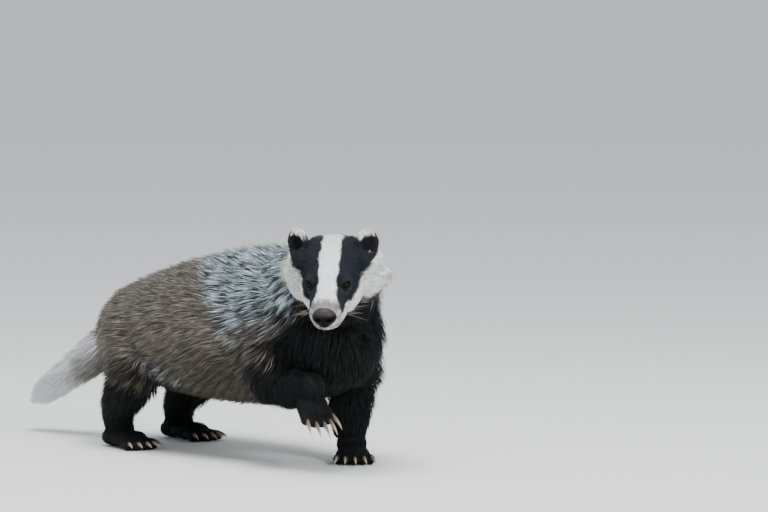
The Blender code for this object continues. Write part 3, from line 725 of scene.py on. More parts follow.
class Surface:
    """The skin's triangles as numbers, for spreading tufts over it and laying them along it."""

    def __init__(self, obj):
        mesh = obj.data
        self.points = values(mesh.vertices, "co", 3)
        self.normals = values(mesh.vertices, "normal", 3)
        self.faces = values(mesh.loops, "vertex_index", 1, int).reshape(-1, 3)
        self.uv = values(mesh.uv_layers["OFBake"].data, "uv", 2).reshape(-1, 3, 2)
        a, b, c = (self.points[self.faces[:, k]] for k in range(3))
        self.area = norm(np.cross(b - a, c - a)) / 2
        self.centre = (a + b + c) / 3
        self.face_normal = unit(self.normals[self.faces].sum(1))
        self.tree = BVHTree.FromPolygons(self.points.tolist(), self.faces.tolist())

    def spread(self, density, count, draw):
        """Places on the skin, closer where density is high: place, normal and place on the unwrap."""
        weight = np.cumsum(self.area * density)
        spots = (np.arange(count) + draw.random(count)) / count * weight[-1]
        face = np.minimum(np.searchsorted(weight, spots), len(weight) - 1)
        r = np.sqrt(draw.random(count))
        t = draw.random(count)
        parts = np.stack([1 - r, r * (1 - t), r * t], 1)[..., None]
        place = (self.points[self.faces[face]] * parts).sum(1)
        normal = unit((self.normals[self.faces[face]] * parts).sum(1))
        return place, normal, (self.uv[face] * parts).sum(1)

    def nearest(self, rows):
        """The nearest place on the skin to each row, and the smoothed normal there."""
        near = np.empty_like(rows)
        face = np.empty(len(rows), int)
        for i, row in enumerate(rows.tolist()):
            near[i], _, face[i], _ = self.tree.find_nearest(row)
        return near, self.face_normal[face]


# Markings and the lie of the coat


def along(edge, value):
    return np.interp(value, [x for x, _ in edge], [y for _, y in edge])


def plane(rows, point, way):
    """How far each place is beyond a plane through point, in the direction of way."""
    return (rows - np.array(point)) @ unit(np.array(way))


def head_share(rows):
    """1 on the head, falling to 0 over the first of the neck."""
    return smooth(plane(rows, (0.229, -0.028, 0.257), (0.755, -0.33, 0.566)), -0.012, 0.006)


def tail_share(rows):
    beyond = smooth(plane(rows, (-0.252, -0.006, 0.148), (-0.85, -0.14, -0.5)), -0.01, 0.014)
    return beyond * smooth(to_limb(rows, TAIL_AXIS)[1], 2.0, 1.4)


def limb_share(rows):
    """How far each place belongs to a limb, how far down it is, and the limb's direction there."""
    share = np.zeros(len(rows))
    down = np.zeros(len(rows))
    way = np.zeros((len(rows), 3))
    for joints in LIMBS:
        t, ratio, run = to_limb(rows, joints)
        part = smooth(t, 0.1, 0.42) * smooth(ratio, 1.45, 1.1)
        more = part > share
        share = np.where(more, part, share)
        down = np.where(more, t, down)
        way[more] = run[more]
    return share, down, way


def paw_share(rows, reach=1.2):
    """1 on the paws, falling to 0 up the legs."""
    share = np.zeros(len(rows))
    for paw in PAWS:
        local = into_frame(paw.place, rows) - np.array((0.019, 0, 0.014))
        away = norm(local / np.array((0.005 + 1.3 * paw.toe_root, 0.035, 0.033)))
        share = np.maximum(share, smooth(away, reach, 0.9))
    return share


def from_eye(fsu):
    """Each place as seen from the nearer eye, with the right side of the head laid on the left."""
    return np.stack([fsu[:, 0], np.abs(fsu[:, 1]), fsu[:, 2]], 1) - np.array(EYE)


def ear_place(fsu):
    """Each place in the frame of the nearer ear, and how far it belongs to that ear."""
    local = np.zeros_like(fsu)
    for side in (1, -1):
        here = fsu[:, 1] * side > 0
        spot = into_frame(HEAD_FRAME.inverted() @ ear_frame(side), fsu[here])
        spot[:, 1] *= side
        local[here] = spot
    ratio = norm(local / np.array(EAR_SKIN))
    return local, smooth(ratio, 1.45, 1.15) * smooth(local[:, 2], -0.016, -0.01)


def ruff_share(fsu, normals):
    """Where the cheek's hairs are longest, along its hinder rim."""
    f, s, u = fsu.T
    share = smooth(f, 0.015, -0.022) * smooth(np.abs(s), 0.035, 0.055) * smooth(u, 0.015, -0.005)
    return share * smooth(turned(HEAD_FRAME.inverted(), normals)[:, 0], -0.75, -0.3)


def nape_share(rows, f):
    return smooth(f + 0.006 * waves(rows, 0.02, 7), -0.016, -0.048)


def head_colour(rows):
    """The face's markings, with painted shadow under the cheeks and the black's bluish cast as painted sky
    reflection.
    """
    fsu = into_frame(HEAD_FRAME, rows)
    f, s, u = fsu.T
    aside = np.abs(s)
    soft = 0.0012 + 0.004 * smooth(f, 0.0, -0.05)
    stripe = STRIPE + 0.003 * smooth(f, -0.03, -0.07) + 0.0005 * waves(rows, 0.012, 3)
    stripe += 0.005 * smooth(f, 0.078, 0.093)
    edge = along(BLACK_EDGE, f) + 0.0008 * waves(rows, 0.01, 4)
    low = along(CHEEK_EDGE, f) + 0.0025 * waves(rows, 0.014, 5)
    # The cheek's lower edge is raised on the left side, so that the painted shadow under it starts higher
    # there.
    low += 0.015 * smooth(s, 0.012, 0.036) * smooth(f, 0.066, 0.036)
    black = 1 - smooth(aside, stripe + soft, stripe - soft)
    black *= smooth(u, edge - 0.0012, edge + 0.0012) * smooth(f, 0.0985, 0.0925)
    black *= 1 - 0.8 * smooth(f + 0.006 * waves(rows, 0.02, 7), -0.036, -0.056)
    # The band under the cheek's white is brown like the jaw and darkened with painted shadow.
    below = smooth(u, low + 0.006, low - 0.004) * smooth(f, 0.078, 0.068)
    colour = mix(WHITE, CHEEK_WHITE, smooth(aside, 0.014, 0.026) * 0.6)
    lips = smooth(f, 0.08, 0.092) * np.maximum(smooth(aside, 0.009, 0.016), smooth(u, -0.006, -0.018))
    colour = mix(colour, LIP_BEIGE, lips * np.clip(0.66 + 0.28 * waves(rows, 0.008, 6), 0, 1))
    above_nose = smooth(f + 0.002 * waves(rows, 0.006, 11), 0.086, 0.095) * smooth(u, -0.006, 0.0)
    colour = mix(colour, MUZZLE_BROWN, above_nose * 0.82)
    colour = mix(colour, JAW_BROWN_AND_SHADOW, below * 0.85)
    colour = mix(colour, WARM_BLACK, smooth(u, low - 0.002, low - 0.01) * smooth(f, 0.078, 0.068))
    # The black stripes, bluish with painted sky reflection.
    colour = mix(colour, BLACK, black)
    gap = norm(from_eye(fsu))
    fringe = smooth(gap, 0.0135, 0.0115) * smooth(gap, 0.008, 0.01) * smooth(u - EYE.z, 0.006, -0.003)
    colour = mix(colour, EYE_FRINGE, fringe * black * 0.55)
    colour = mix(colour, NAPE_GREY, nape_share(rows, f) * (1 - black) * 0.75)
    local, ear = ear_place(fsu)
    cup = smooth(np.hypot(local[:, 1] / 0.0125, local[:, 2] / 0.0155), 1.05, 0.9)
    inside = smooth(local[:, 0], 0.0, 0.003) * cup * smooth(local[:, 2], 0.0145, 0.0105)
    # The ear is black to white at the rim; the black's bluish cast is painted sky reflection.
    pinna = mix(BLACK, EAR_TIP, smooth(local[:, 2], 0.0085, 0.0125))
    return mix(colour, mix(pinna, EAR_INSIDE, inside), ear)


def frost_share(rows):
    """Where the coat is black with white tips: the shoulders, the neck's top and a patch before the thigh."""
    x, y, z = rows.T
    swell = 0.02 * waves(rows, 0.12, 8)
    fore = smooth(x + 0.68 * (z - 0.2) + swell, 0.008, 0.112)
    fore *= smooth(z + 0.5 * swell, 0.155, 0.24)
    ahead = (x + 0.056 + 0.025 * (y > 0)) / 0.05
    above = (z - 0.118 + 0.18 * (x + 0.056)) / 0.024
    patch = smooth(np.hypot(ahead, above) + 6 * swell, 1.25, 0.4) * smooth(np.abs(y), 0.05, 0.08)
    return np.clip(np.maximum(fore, patch * (0.52 - 0.22 * (y > 0))), 0, 1)


def dark_share(rows):
    """Where the coat is black all through: chest, throat, limbs and the neck under the cheeks."""
    x, _, z = rows.T
    swell = 0.01 * waves(rows, 0.05, 9)
    front = 0.144 + np.maximum(0, z - 0.148) * 0.92
    chest = smooth(x + swell, front - 0.012, front + 0.014)
    chest = np.maximum(chest, 0.42 * smooth(x + 2 * swell, front - 0.062, front - 0.008))
    chest *= smooth(plane(rows, (0.2, 0, 0.225), (-0.35, 0, 1.0)) + swell, 0.03, 0.004)
    share = smooth(limb_share(rows)[0], 0.0, 0.55)
    low = np.maximum(share * smooth(z + 1.5 * swell, 0.155, 0.08), smooth(z + 0.5 * swell, 0.078, 0.058))
    low = np.maximum(low, paw_share(rows))
    return np.clip(np.maximum(chest, low), 0, 1)


def leaning(share, own):
    """The share of a marking, with each hair's own leaning where the marking begins."""
    return share + own * np.minimum(1, 5 * share * (1 - share))


def coat_tones(rows, own=0.0):
    """Colours of the under part, the dark band and the tip of the body's hairs, and where they are black."""
    frost = smooth(leaning(frost_share(rows), own), 0.15, 0.85)
    dark = smooth(leaning(dark_share(rows), own), 0.1, 0.8)
    lower = smooth(rows[:, 2] + 0.012 * waves(rows, 0.09, 10), 0.19, 0.105)
    tones = []
    # The frosted hairs carry a cool cast of painted sky light.
    for grey, low, frosted, black in zip(GREY_HAIR, LOWER_HAIR, FROSTED_HAIR_AND_SKY_CAST, BLACK_HAIR):
        tones.append(mix(mix(mix(grey, low, lower), frosted, frost), black, dark))
    return (*tones, dark)


def mottle(rows):
    """A field of small patches, longer along the coat's lie, that the pale tips gather in."""
    along_lie = np.array((0.88, 0.1, 0.46))
    drawn = rows - np.outer(rows @ along_lie, along_lie) * 0.32
    return waves(drawn, 0.0105, 51) * 0.8 + waves(drawn, 0.021, 52) * 0.25


def tail_tones(rows):
    share = to_limb(rows, TAIL_AXIS)[0]
    middle = [point[2] for point, _ in TAIL_AXIS]
    height = rows[:, 2] - np.interp(share * (len(middle) - 1), range(len(middle)), middle)
    pale = np.maximum(smooth(height + 0.006 * waves(rows, 0.03, 12), -0.016, 0.004), smooth(share, 0.4, 0.66))
    pale *= smooth(share + 0.05 * waves(rows, 0.012, 13), 0.08, 0.34)
    return mix(TAIL_ROOT, TAIL_WHITE, pale)


def lie(rows, normals):
    """The way that the coat runs at each place, not yet laid flat on the skin."""
    x = rows[:, 0]
    rump = np.clip((-0.12 - x) / 0.14, 0, 1)
    flat = np.clip(normals[:, 2], 0, 1)
    down = 0.08 + (0.32 + 0.42 * rump) * (1 - flat)
    way = np.array((-1.0, 0, 0)) - np.outer(down, (0, 0, 1))
    way = mix(way, np.array((-0.8, 0.2, -0.45)) - np.outer(1 - flat, (0, 0, 0.3)), smooth(x, 0.13, 0.2))
    chest = smooth(x, 0.15, 0.21) * smooth(normals[:, 0] - normals[:, 2] * 0.8, 0.0, 0.5)
    way = mix(way, (-0.25, 0.0, -1.0), chest)
    share, far_down, limb = limb_share(rows)
    hind = (x < 0) * smooth(far_down, 0.65, 0.35)
    limb[:, 0] = limb[:, 0] * (1 - hind) + np.minimum(limb[:, 0], -0.45) * hind
    limb = unit(limb)
    level = 1 - np.abs(limb[:, 2:])
    limb = limb * (1 - 0.45 * level) + np.array((-0.1, 0, -0.1)) - np.array((0, 0, 0.85)) * level
    way = mix(way, limb, share)
    return unit(mix(way, TAIL_WAY, tail_share(rows)))


def toward_side(s, way):
    """A direction of the head's left side, mirrored where s is on the right."""
    ahead, left, up = way
    return unit(np.stack([np.full(len(s), ahead), left * np.sign(s), np.full(len(s), up)], 1))


def head_lie(fsu, normals):
    """On the head, away from the nose, down and back on the cheeks, round the eyes and up the ears."""
    f, s, u = fsu.T
    facing = turned(HEAD_FRAME.inverted(), normals)[:, 0]
    away = unit(fsu - np.array((0.118, 0.0, -0.006)))
    cheek = smooth(f, 0.045, 0.0) * smooth(u, 0.015, -0.012) * smooth(np.abs(s), 0.02, 0.04)
    away = mix(away, toward_side(s, (-0.62, 0.55, -0.55)), cheek)
    ruff = ruff_share(fsu, normals)
    away = mix(away, toward_side(s, (-0.45, 0.72, -0.58)), ruff)
    behind = smooth(facing, -0.3, -0.7) * smooth(u, 0.015, -0.005)
    away = mix(away, toward_side(s, (-0.6, 0.25, -0.75)), behind)
    away = mix(away, (-1.0, 0.0, -0.25), smooth(u, -0.035, -0.05) * (1 - ruff))
    gap = from_eye(fsu)
    far = norm(gap)
    gap[:, 1] *= np.sign(s)
    away = mix(away, unit(gap), 0.8 * smooth(far, 0.018, 0.01))
    local, ear = ear_place(fsu)
    for side in (1, -1):
        here = (s * side > 0) & (ear > 0.01)
        spread = np.stack([np.full(here.sum(), -0.25), side * local[here, 1] / 0.03, np.ones(here.sum())], 1)
        up_ear = turned(HEAD_FRAME.inverted() @ ear_frame(side), unit(spread))
        away[here] = mix(away[here], up_ear, ear[here])
    return turned(HEAD_FRAME, unit(away))


def bare_share(fsu):
    """0 where the head has no fur: the nose and the opening of the lids."""
    nose = norm((fsu - np.array(NOSE)) / np.array(NOSE_RADII))
    eye = from_eye(fsu)
    look = unit(np.array(EYE_LOOK))
    across = unit(np.cross((0, 0, 1), look))
    rise = np.cross(look, across)
    off = np.hypot(eye @ across / (EYE_OPENING.y + 0.0002), eye @ rise / (EYE_OPENING.z + 0.0002))
    lid = (eye @ look > 0) & (off < 1) & (norm(eye) < 0.0125)
    return smooth(nose, 0.93, 0.99) * np.where(lid, 0.0, 1.0)


# Making the coat


def tufts(name, hairs, material, draw):
    """Joins tapered three-sided tufts into one mesh, each with its colours and its patch of the map."""
    path, outward, width, colours, uv = hairs
    count, points, _ = path.shape
    rings = points - 1
    run = unit(np.diff(path, axis=1))
    side = unit(np.cross(outward[:, :rings], run))
    roll = draw.normal(0, 0.45, (count, 1, 1))
    across = side * np.cos(roll) + np.cross(run, side) * np.sin(roll)
    over = np.cross(run, across)
    half = (width[:, None] * np.array(TAPER[rings]) / 2)[..., None]
    line = path[:, :rings]
    ring = np.stack([line - across * half, line + across * half, line + over * half], 2)
    verts = np.concatenate([ring.reshape(count, -1, 3), path[:, rings:]], 1)
    verts[..., 2] = np.maximum(verts[..., 2], ABOVE_FLOOR)
    size = 3 * rings + 1
    faces = []
    for low in range(0, 3 * rings, 3):
        for j in range(3):
            i = (j + 1) % 3
            upper = [low + 3 + i, low + 3 + j] if low + 3 < 3 * rings else [3 * rings]
            faces.append([low + j, low + i] + upper)
    loops = np.concatenate(faces)
    starts = np.cumsum([0] + [len(face) for face in faces[:-1]])
    shift = np.arange(count)[:, None]
    mesh = bpy.data.meshes.new(name)
    mesh.vertices.add(count * size)
    mesh.vertices.foreach_set("co", (verts - np.array(BOX_MIDDLE)).astype(np.float32).ravel())
    mesh.loops.add(count * len(loops))
    mesh.loops.foreach_set("vertex_index", (loops[None, :] + shift * size).ravel())
    mesh.polygons.add(count * len(starts))
    mesh.polygons.foreach_set("loop_start", (starts[None, :] + shift * len(loops)).ravel())
    patch = [((j - 1) * 0.5, k / rings - 0.5) for k in range(rings) for j in range(3)] + [(0.0, 0.5)]
    place = uv[:, None, :] + np.array(patch) * PATCH
    layer = mesh.uv_layers.new(name="OFBake")
    layer.data.foreach_set("uv", np.clip(place[:, loops], 0, 1).astype(np.float32).ravel())
    mesh.update(calc_edges=True)
    obj = new_object(name, mesh)
    wear(obj, material)
    each = np.concatenate([np.repeat(colours[:, :rings], 3, axis=1), colours[:, rings:]], 1)
    set_tint(obj, each.reshape(-1, 3))
    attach(obj, "root")
    return obj


class Coat:
    """The tufts of one region, from their roots on the skin to their meshes."""

    def __init__(self, surface, density, fur):
        self.surface = surface
        self.fur = fur
        self.draw = np.random.default_rng(fur.seed)
        self.roots, self.normals, self.uv = surface.spread(density, fur.tufts, self.draw)

    def vary(self, low, high):
        """A random number from low to high for each tuft."""
        return self.draw.uniform(low, high, len(self.roots))

    def scatter(self, amount):
        """A random step or turn for each tuft."""
        return self.draw.normal(0, amount, self.roots.shape)

    def lay(self, ways, lengths, heights, rings, hug):
        """Leads each tuft from root to tip along the skin, rising from it. Hug is how close it follows."""
        base = self.roots
        normal = self.normals
        path = [base - normal * ROOT_SINK]
        outward = [normal]
        step = (lengths / rings)[:, None]
        for k in range(1, rings + 1):
            ahead = base + unit(ways - normal * dot(ways, normal)) * step
            near, there = self.surface.nearest(ahead)
            base = mix(ahead, near, hug)
            normal = unit(mix(normal, there, hug))
            path.append(base + normal * (heights * (k / rings) ** 0.75)[:, None])
            outward.append(normal)
        self.path = np.stack(path, 1)
        self.outward = np.stack(outward, 1)

    def gather(self, strength):
        """Draws the tufts together into clumps, and returns the random value of each one's clump."""
        count = len(self.roots)
        span = self.roots.max(0) - self.roots.min(0)
        area = 2 * (span[0] * span[1] + span[1] * span[2] + span[0] * span[2]) * 0.7
        clumps = max(8, int(area / self.fur.spacing ** 2))
        seeds = self.draw.choice(count, min(count, clumps), replace=False)
        tree = KDTree(len(seeds))
        for number, seed in enumerate(seeds):
            tree.insert(self.roots[seed], number)
        tree.balance()
        owner = np.array([tree.find(row)[1] for row in self.roots.tolist()])
        pull = np.linspace(0, 1, self.path.shape[1]) ** 1.3
        own = (strength * self.vary(0.5, 1.0))[:, None, None]
        self.path += (self.path[seeds[owner]] - self.path) * pull[None, :, None] * own
        return self.draw.random(len(seeds))[owner]

    def ringed(self, under, band, tip, white):
        """Colours along each hair: a root darkened as painted shade, under part, dark band and tip, whiter
        where white is high.
        """
        shade = self.vary(0.8, 1.2)[:, None, None]
        middle = mix(band, tip, white * 0.55)
        end = mix(band, tip, white)
        thick = self.path.shape[1] == 4
        # The root is darker than the under part, as painted shade deep in the coat.
        rows = [under * 0.55, under, middle, end] if thick else [under * 0.7, middle, end]
        return np.clip(np.stack(rows, 1) * shade, 0, 0.92)

    def build(self, name, colours, material, widen=1.0):
        """Makes the tufts as meshes, with no more than the region's limit of tufts in each."""
        width = self.vary(*self.fur.widths) * widen
        hairs = (self.path, self.outward, width, colours, self.uv)
        count = len(width)
        parts = math.ceil(count / self.fur.limit)
        for number in range(parts):
            pick = slice(number * count // parts, (number + 1) * count // parts)
            made = tufts(name + "_" + str(number + 1), [rows[pick] for rows in hairs], material, self.draw)


def body_coat(surface, material):
    """Long coat of the trunk and neck."""
    centre = surface.centre
    limb, down, _ = limb_share(centre)
    fine = np.maximum(limb * smooth(down, 0.4, 0.62), smooth(paw_share(centre), 0.0, 0.4))
    density = np.clip((1 - head_share(centre)) * (1 - tail_share(centre)) * (1 - fine), 0, 1)
    density *= 1 - 0.55 * smooth(surface.face_normal[:, 2], -0.6, -0.9) * smooth(centre[:, 2], 0.12, 0.09)
    density *= 1 + 0.5 * smooth(centre[:, 2], 0.16, 0.24)
    coat = Coat(surface, density, TRUNK_FUR)
    roots = coat.roots
    x, y, z = roots.T
    limb, down, _ = limb_share(roots)
    nape = smooth(x, 0.17, 0.24)
    under_belly = smooth(coat.normals[:, 2], -0.5, -0.9)
    elbow = np.stack([x - 0.16, np.abs(y) - 0.066, z - 0.148], 1) / np.array((0.042, 0.034, 0.03))
    over = smooth(norm(elbow), 1.25, 0.55)
    lengths = TRUNK_FUR.hair - 0.01 * smooth(z, 0.15, 0.1) - 0.008 * dark_share(roots) - 0.008 * nape
    lengths *= 1 - 0.35 * limb
    lengths = lengths * (1 - 0.35 * under_belly) * coat.vary(0.78, 1.12) + 0.014 * over
    depth = TRUNK_COAT - 0.004 * nape - 0.012 * limb * smooth(down, 0.2, 0.6)
    depth = depth * (1 - 0.5 * under_belly) + 0.005 * smooth(z, 0.235, 0.265) * smooth(x, 0.0, 0.08)
    heights = depth * coat.vary(0.35, 1.02)
    ways = unit(lie(roots, coat.normals) + swirl(roots, 0.045, 31))
    coat.lay(unit(ways + coat.scatter(0.09)), lengths, heights, 3, 0.8 - 0.5 * over)
    clump = coat.gather(0.5)
    count = len(roots)
    under, band, tip, dark = coat_tones(roots, coat.draw.normal(0, 0.26, count) + 0.34 * mottle(roots))
    own = coat.draw.normal(0, 0.22, count) + 0.25 * clump - 0.12
    shade = coat.vary(0.82, 1.18)[:, None]
    # The root is darker than the under part, as painted shade deep in the coat.
    rows = [under * 0.55 * shade]
    for k, (most, of_under) in enumerate(((0.38, 0.5), (0.9, 0.0), (1.0, 0.0)), 1):
        pale = smooth(mottle(coat.path[:, k]) + own, -0.22, 0.48)
        rows.append(mix(mix(band, tip, pale * most), under, of_under) * shade)
    colours = np.clip(np.stack(rows, 1), 0, 0.92)
    coat.build("coat_body", colours, material, 1 - 0.15 * dark)


def limb_coat(surface, material):
    """Short dark coat of the lower limbs and paws."""
    centre = surface.centre
    limb, down, _ = limb_share(centre)
    fine = limb * smooth(down, 0.3, 0.52) * (1 + 0.7 * smooth(down, 0.5, 0.8))
    on_paw = paw_share(centre)
    sole = np.ones(len(centre))
    for paw in PAWS:
        local = into_frame(paw.place, centre)
        under = smooth(local[:, 2], 0.007, 0.003) * smooth(norm(local), 0.09, 0.08)
        sole = np.minimum(sole, 1 - under * smooth(on_paw, 0.5, 0.9))
    density = np.maximum(fine, smooth(on_paw, 0.0, 0.4) * 1.9) * sole
    density *= 1 - head_share(centre)
    coat = Coat(surface, density, LIMB_FUR)
    roots = coat.roots
    share, down, _ = limb_share(roots)
    above = share * smooth(down, 0.95, 0.74)
    on_paw = paw_share(roots, 1.55) * (1 - above)
    forward = paw_share(roots, 1.3) * (1 - above)
    ways = lie(roots, coat.normals)
    for paw in PAWS:
        local = into_frame(paw.place, roots)
        near = norm(local - np.array((paw.toe_root * 0.5, 0, 0.015))) < 0.08
        raised = smooth(local[:, 2], 0.016, 0.034)
        toward = mix((1.0, 0.0, -0.25), (0.2, 0.0, -1.0), raised)
        ways = mix(ways, turned(paw.place, toward), forward * near)
        on_paw = on_paw * (1 - 0.7 * raised * near)
    lengths = LIMB_FUR.hair - 0.021 * smooth(down, 0.4, 0.95)
    heights = 0.014 - 0.0105 * smooth(down, 0.4, 0.9)
    lengths = (lengths * (1 - on_paw) + 0.006 * on_paw) * coat.vary(0.75, 1.15)
    heights = (heights * (1 - on_paw) + 0.0014 * on_paw) * coat.vary(0.35, 1.0)
    coat.lay(unit(unit(ways) + coat.scatter(0.12)), lengths, heights, 2, 0.85)
    clump = coat.gather(0.5)
    _, band, tip, _ = coat_tones(roots)
    black = mix(band, LIMB_BLACK, 0.6)
    colours = coat.ringed(black * 0.7, black, tip * 0.6 + black * 0.6, clump * 0.7)
    coat.build("coat_limbs", colours, material)


def tail_coat(surface, material):
    """The tail's brush."""
    density = tail_share(surface.centre)
    density *= 1 + 1.2 * smooth(to_limb(surface.centre, TAIL_AXIS)[0], 0.5, 0.9)
    coat = Coat(surface, density, TAIL_FUR)
    share = to_limb(coat.roots, TAIL_AXIS)[0]
    lengths = (TAIL_FUR.hair - 0.03 * smooth(share, 0.6, 1.0)) * coat.vary(0.6, 1.1)
    heights = TAIL_COAT * coat.vary(0.5, 1.2) * (1 - 0.2 * smooth(share, 0.7, 1.0))
    ways = unit(np.array(TAIL_WAY) + coat.scatter(0.07))
    coat.lay(ways, lengths, heights, 3, 0.55 - 0.45 * smooth(share, 0.7, 0.92))
    clump = coat.gather(0.6)
    tone = tail_tones(coat.roots)
    white = smooth(clump * 0.6 + coat.vary(0, 1) * 0.5, 0.1, 0.7)
    colours = coat.ringed(tone * 0.85, tone * 0.9, tone * 1.03, white)
    coat.build("coat_tail", colours, material)


def head_coat(surface, material):
    """Short close fur of the face, longer on the cheeks, the nape and the rims of the ears."""
    fsu = into_frame(HEAD_FRAME, surface.centre)
    density = head_share(surface.centre) * bare_share(fsu)
    density *= 1 + 0.8 * smooth(fsu[:, 0], 0.03, 0.07) + 1.5 * smooth(norm(from_eye(fsu)), 0.018, 0.01)
    coat = Coat(surface, density, HEAD_FUR)
    roots = coat.roots
    fsu = into_frame(HEAD_FRAME, roots)
    f, s, u = fsu.T
    back = smooth(f, 0.06, -0.03)
    cheek = smooth(np.abs(s), 0.022, 0.045) * smooth(f, 0.05, 0.0) * smooth(u, 0.018, -0.01)
    ruff = ruff_share(fsu, coat.normals)
    nape = nape_share(roots, f) * (1 - ruff)
    throat = smooth(u, -0.03, -0.05)
    lengths = HEAD_FUR.hair + 0.007 * back + 0.0085 * cheek + 0.017 * ruff + 0.008 * throat + 0.011 * nape
    heights = 0.0013 + 0.0018 * back + 0.0055 * cheek + 0.013 * ruff + 0.003 * throat + 0.004 * nape
    near_eye = smooth(norm(from_eye(fsu)), 0.02, 0.0095)
    lengths = lengths * (1 - near_eye) + 0.0034 * near_eye
    heights = heights * (1 - near_eye) + 0.0012 * near_eye
    local, ear = ear_place(fsu)
    rim = ear * smooth(local[:, 2], 0.004, 0.014)
    lengths = (lengths * (1 - ear) + ear * (0.006 + 0.0055 * rim)) * coat.vary(0.75, 1.15)
    heights = (heights * (1 - ear) + ear * (0.0014 + 0.0022 * rim)) * coat.vary(0.4, 1.05)
    ways = unit(head_lie(fsu, coat.normals) + swirl(roots, 0.02, 41) + coat.scatter(0.09))
    coat.lay(ways, lengths, heights, 2, 0.8 - 0.55 * ruff)
    clump = coat.gather(0.6 * (1 - near_eye))
    tone = head_colour(roots + coat.scatter(0.0005))
    streak = waves(roots + 0.004 * coat.scatter(1), 0.009, 44)
    shade = 0.86 + 0.22 * clump + (0.05 + 0.05 * cheek) * streak + coat.vary(-0.1, 0.1)
    # Each tuft is darker at the root, as painted shade deep in the fur, and a little lighter at the tip.
    colours = np.stack([tone * 0.5, tone * 0.93, tone * 1.08], 1) * shade[:, None, None]
    fade = np.maximum(1 - head_share(roots), 0.85 * nape)[:, None, None]
    under, band, tip, _ = coat_tones(roots)
    body = coat.ringed(under, band, tip, smooth(clump, 0.2, 0.8))
    colours = np.clip(colours, 0, 0.93) * (1 - fade) + body * fade
    coat.build("coat_head", colours, material, 1 + 0.3 * cheek + 0.5 * ruff + 0.3 * throat)


# Materials


def tinted_material(name, roughness, specular):
    """A material with the colour that each vertex keeps."""
    made = bpy.data.materials.new(name)
    made.use_nodes = True
    tree = made.node_tree
    shader = tree.nodes["Principled BSDF"]
    tint = tree.nodes.new("ShaderNodeAttribute")
    tint.attribute_name = "tint"
    tree.links.new(tint.outputs["Color"], shader.inputs["Base Color"])
    shader.inputs["Roughness"].default_value = roughness
    shader.inputs["Specular IOR Level"].default_value = specular
    return made


def texture(made, kind, output, scale, detail=2.0):
    """A texture of that kind, laid by the object's own coordinates. Returns its output."""
    tree = made.node_tree
    place = tree.nodes.new("ShaderNodeTexCoord")
    node = tree.nodes.new(kind)
    node.inputs["Scale"].default_value = scale
    if kind == "ShaderNodeTexNoise":
        node.inputs["Detail"].default_value = detail
    tree.links.new(place.outputs["Object"], node.inputs["Vector"])
    return node.outputs[output]


def bump(made, height, strength, distance):
    tree = made.node_tree
    node = tree.nodes.new("ShaderNodeBump")
    node.inputs["Strength"].default_value = strength
    node.inputs["Distance"].default_value = distance
    tree.links.new(height, node.inputs["Height"])
    tree.links.new(node.outputs["Normal"], tree.nodes["Principled BSDF"].inputs["Normal"])
    return made


def skin_material():
    """Skin and the shortest fur, with a fine bump of hairs lying close."""
    made = tinted_material("skin_and_down", roughness=0.7, specular=0.15)
    hairs = texture(made, "ShaderNodeTexNoise", "Fac", scale=900.0, detail=3.0)
    return bump(made, hairs, strength=0.5, distance=0.0006)


def eye_material():
    made = tinted_material("eye_gloss", roughness=0.04, specular=0.16)
    made.node_tree.nodes["Principled BSDF"].inputs["IOR"].default_value = 1.34
    return made


def nose_material():
    """Moist pebbled skin."""
    made = tinted_material("nose_leather", roughness=0.38, specular=0.07)
    both = made.node_tree.nodes.new("ShaderNodeMath")
    both.operation = "ADD"
    cells = texture(made, "ShaderNodeTexVoronoi", "Distance", scale=900.0)
    grain = texture(made, "ShaderNodeTexNoise", "Fac", scale=2500.0)
    made.node_tree.links.new(cells, both.inputs[0])
    made.node_tree.links.new(grain, both.inputs[1])
    return bump(made, both.outputs["Value"], strength=0.22, distance=0.0003)


def claw_material():
    """Horn with fine streaks."""
    made = tinted_material("claw_horn_streaked", roughness=0.38, specular=0.5)
    streaks = texture(made, "ShaderNodeTexNoise", "Fac", scale=700.0, detail=2.0)
    return bump(made, streaks, strength=0.2, distance=0.0002)


def set_tint(obj, rows):
    """Stores a colour for each vertex of obj."""
    layer = obj.data.color_attributes.new("tint", "FLOAT_COLOR", "POINT")
    each = np.concatenate([rows, np.ones((len(rows), 1))], 1)
    layer.data.foreach_set("color", each.astype(np.float32).ravel())


def wear(obj, material):
    """Gives obj that material and no other, and smooth shading."""
    obj.data.materials.clear()
    obj.data.materials.append(material)
    shade_smooth(obj)


# The pieces


def skin_colour(rows):
    """The coat's colours as they show on the skin between the hairs, and the bare skin of lids and lips."""
    under, band, _, _ = coat_tones(rows)
    colour = mix((under + band) * 0.5, tail_tones(rows) * 0.7, tail_share(rows))
    head = head_share(rows)
    colour = mix(colour, head_colour(rows) * 0.8, head)
    fsu = into_frame(HEAD_FRAME, rows)
    colour = mix(colour, LID_SKIN, smooth(norm(from_eye(fsu)), 0.0098, 0.0088) * 0.95)
    line = np.array(mouth_line())
    near = np.full(len(rows), 1e9)
    for a, b in zip(line, line[1:]):
        t = np.clip((fsu - a) @ (b - a) / ((b - a) @ (b - a)), 0, 1)
        near = np.minimum(near, norm(fsu - a - t[:, None] * (b - a)))
    return mix(colour, LIP_SKIN, smooth(near, 0.0022, 0.0012) * head)


def finish_skin(skin, surface):
    set_tint(skin, skin_colour(surface.points))
    settle(skin, HOME)
    wear(skin, skin_material())
    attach(skin, "root")
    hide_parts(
        "torso", "neck", "tail", "head", "ear_left", "ear_right",
        "foreleg_left", "foreleg_right", "hindleg_left", "hindleg_right",
    )


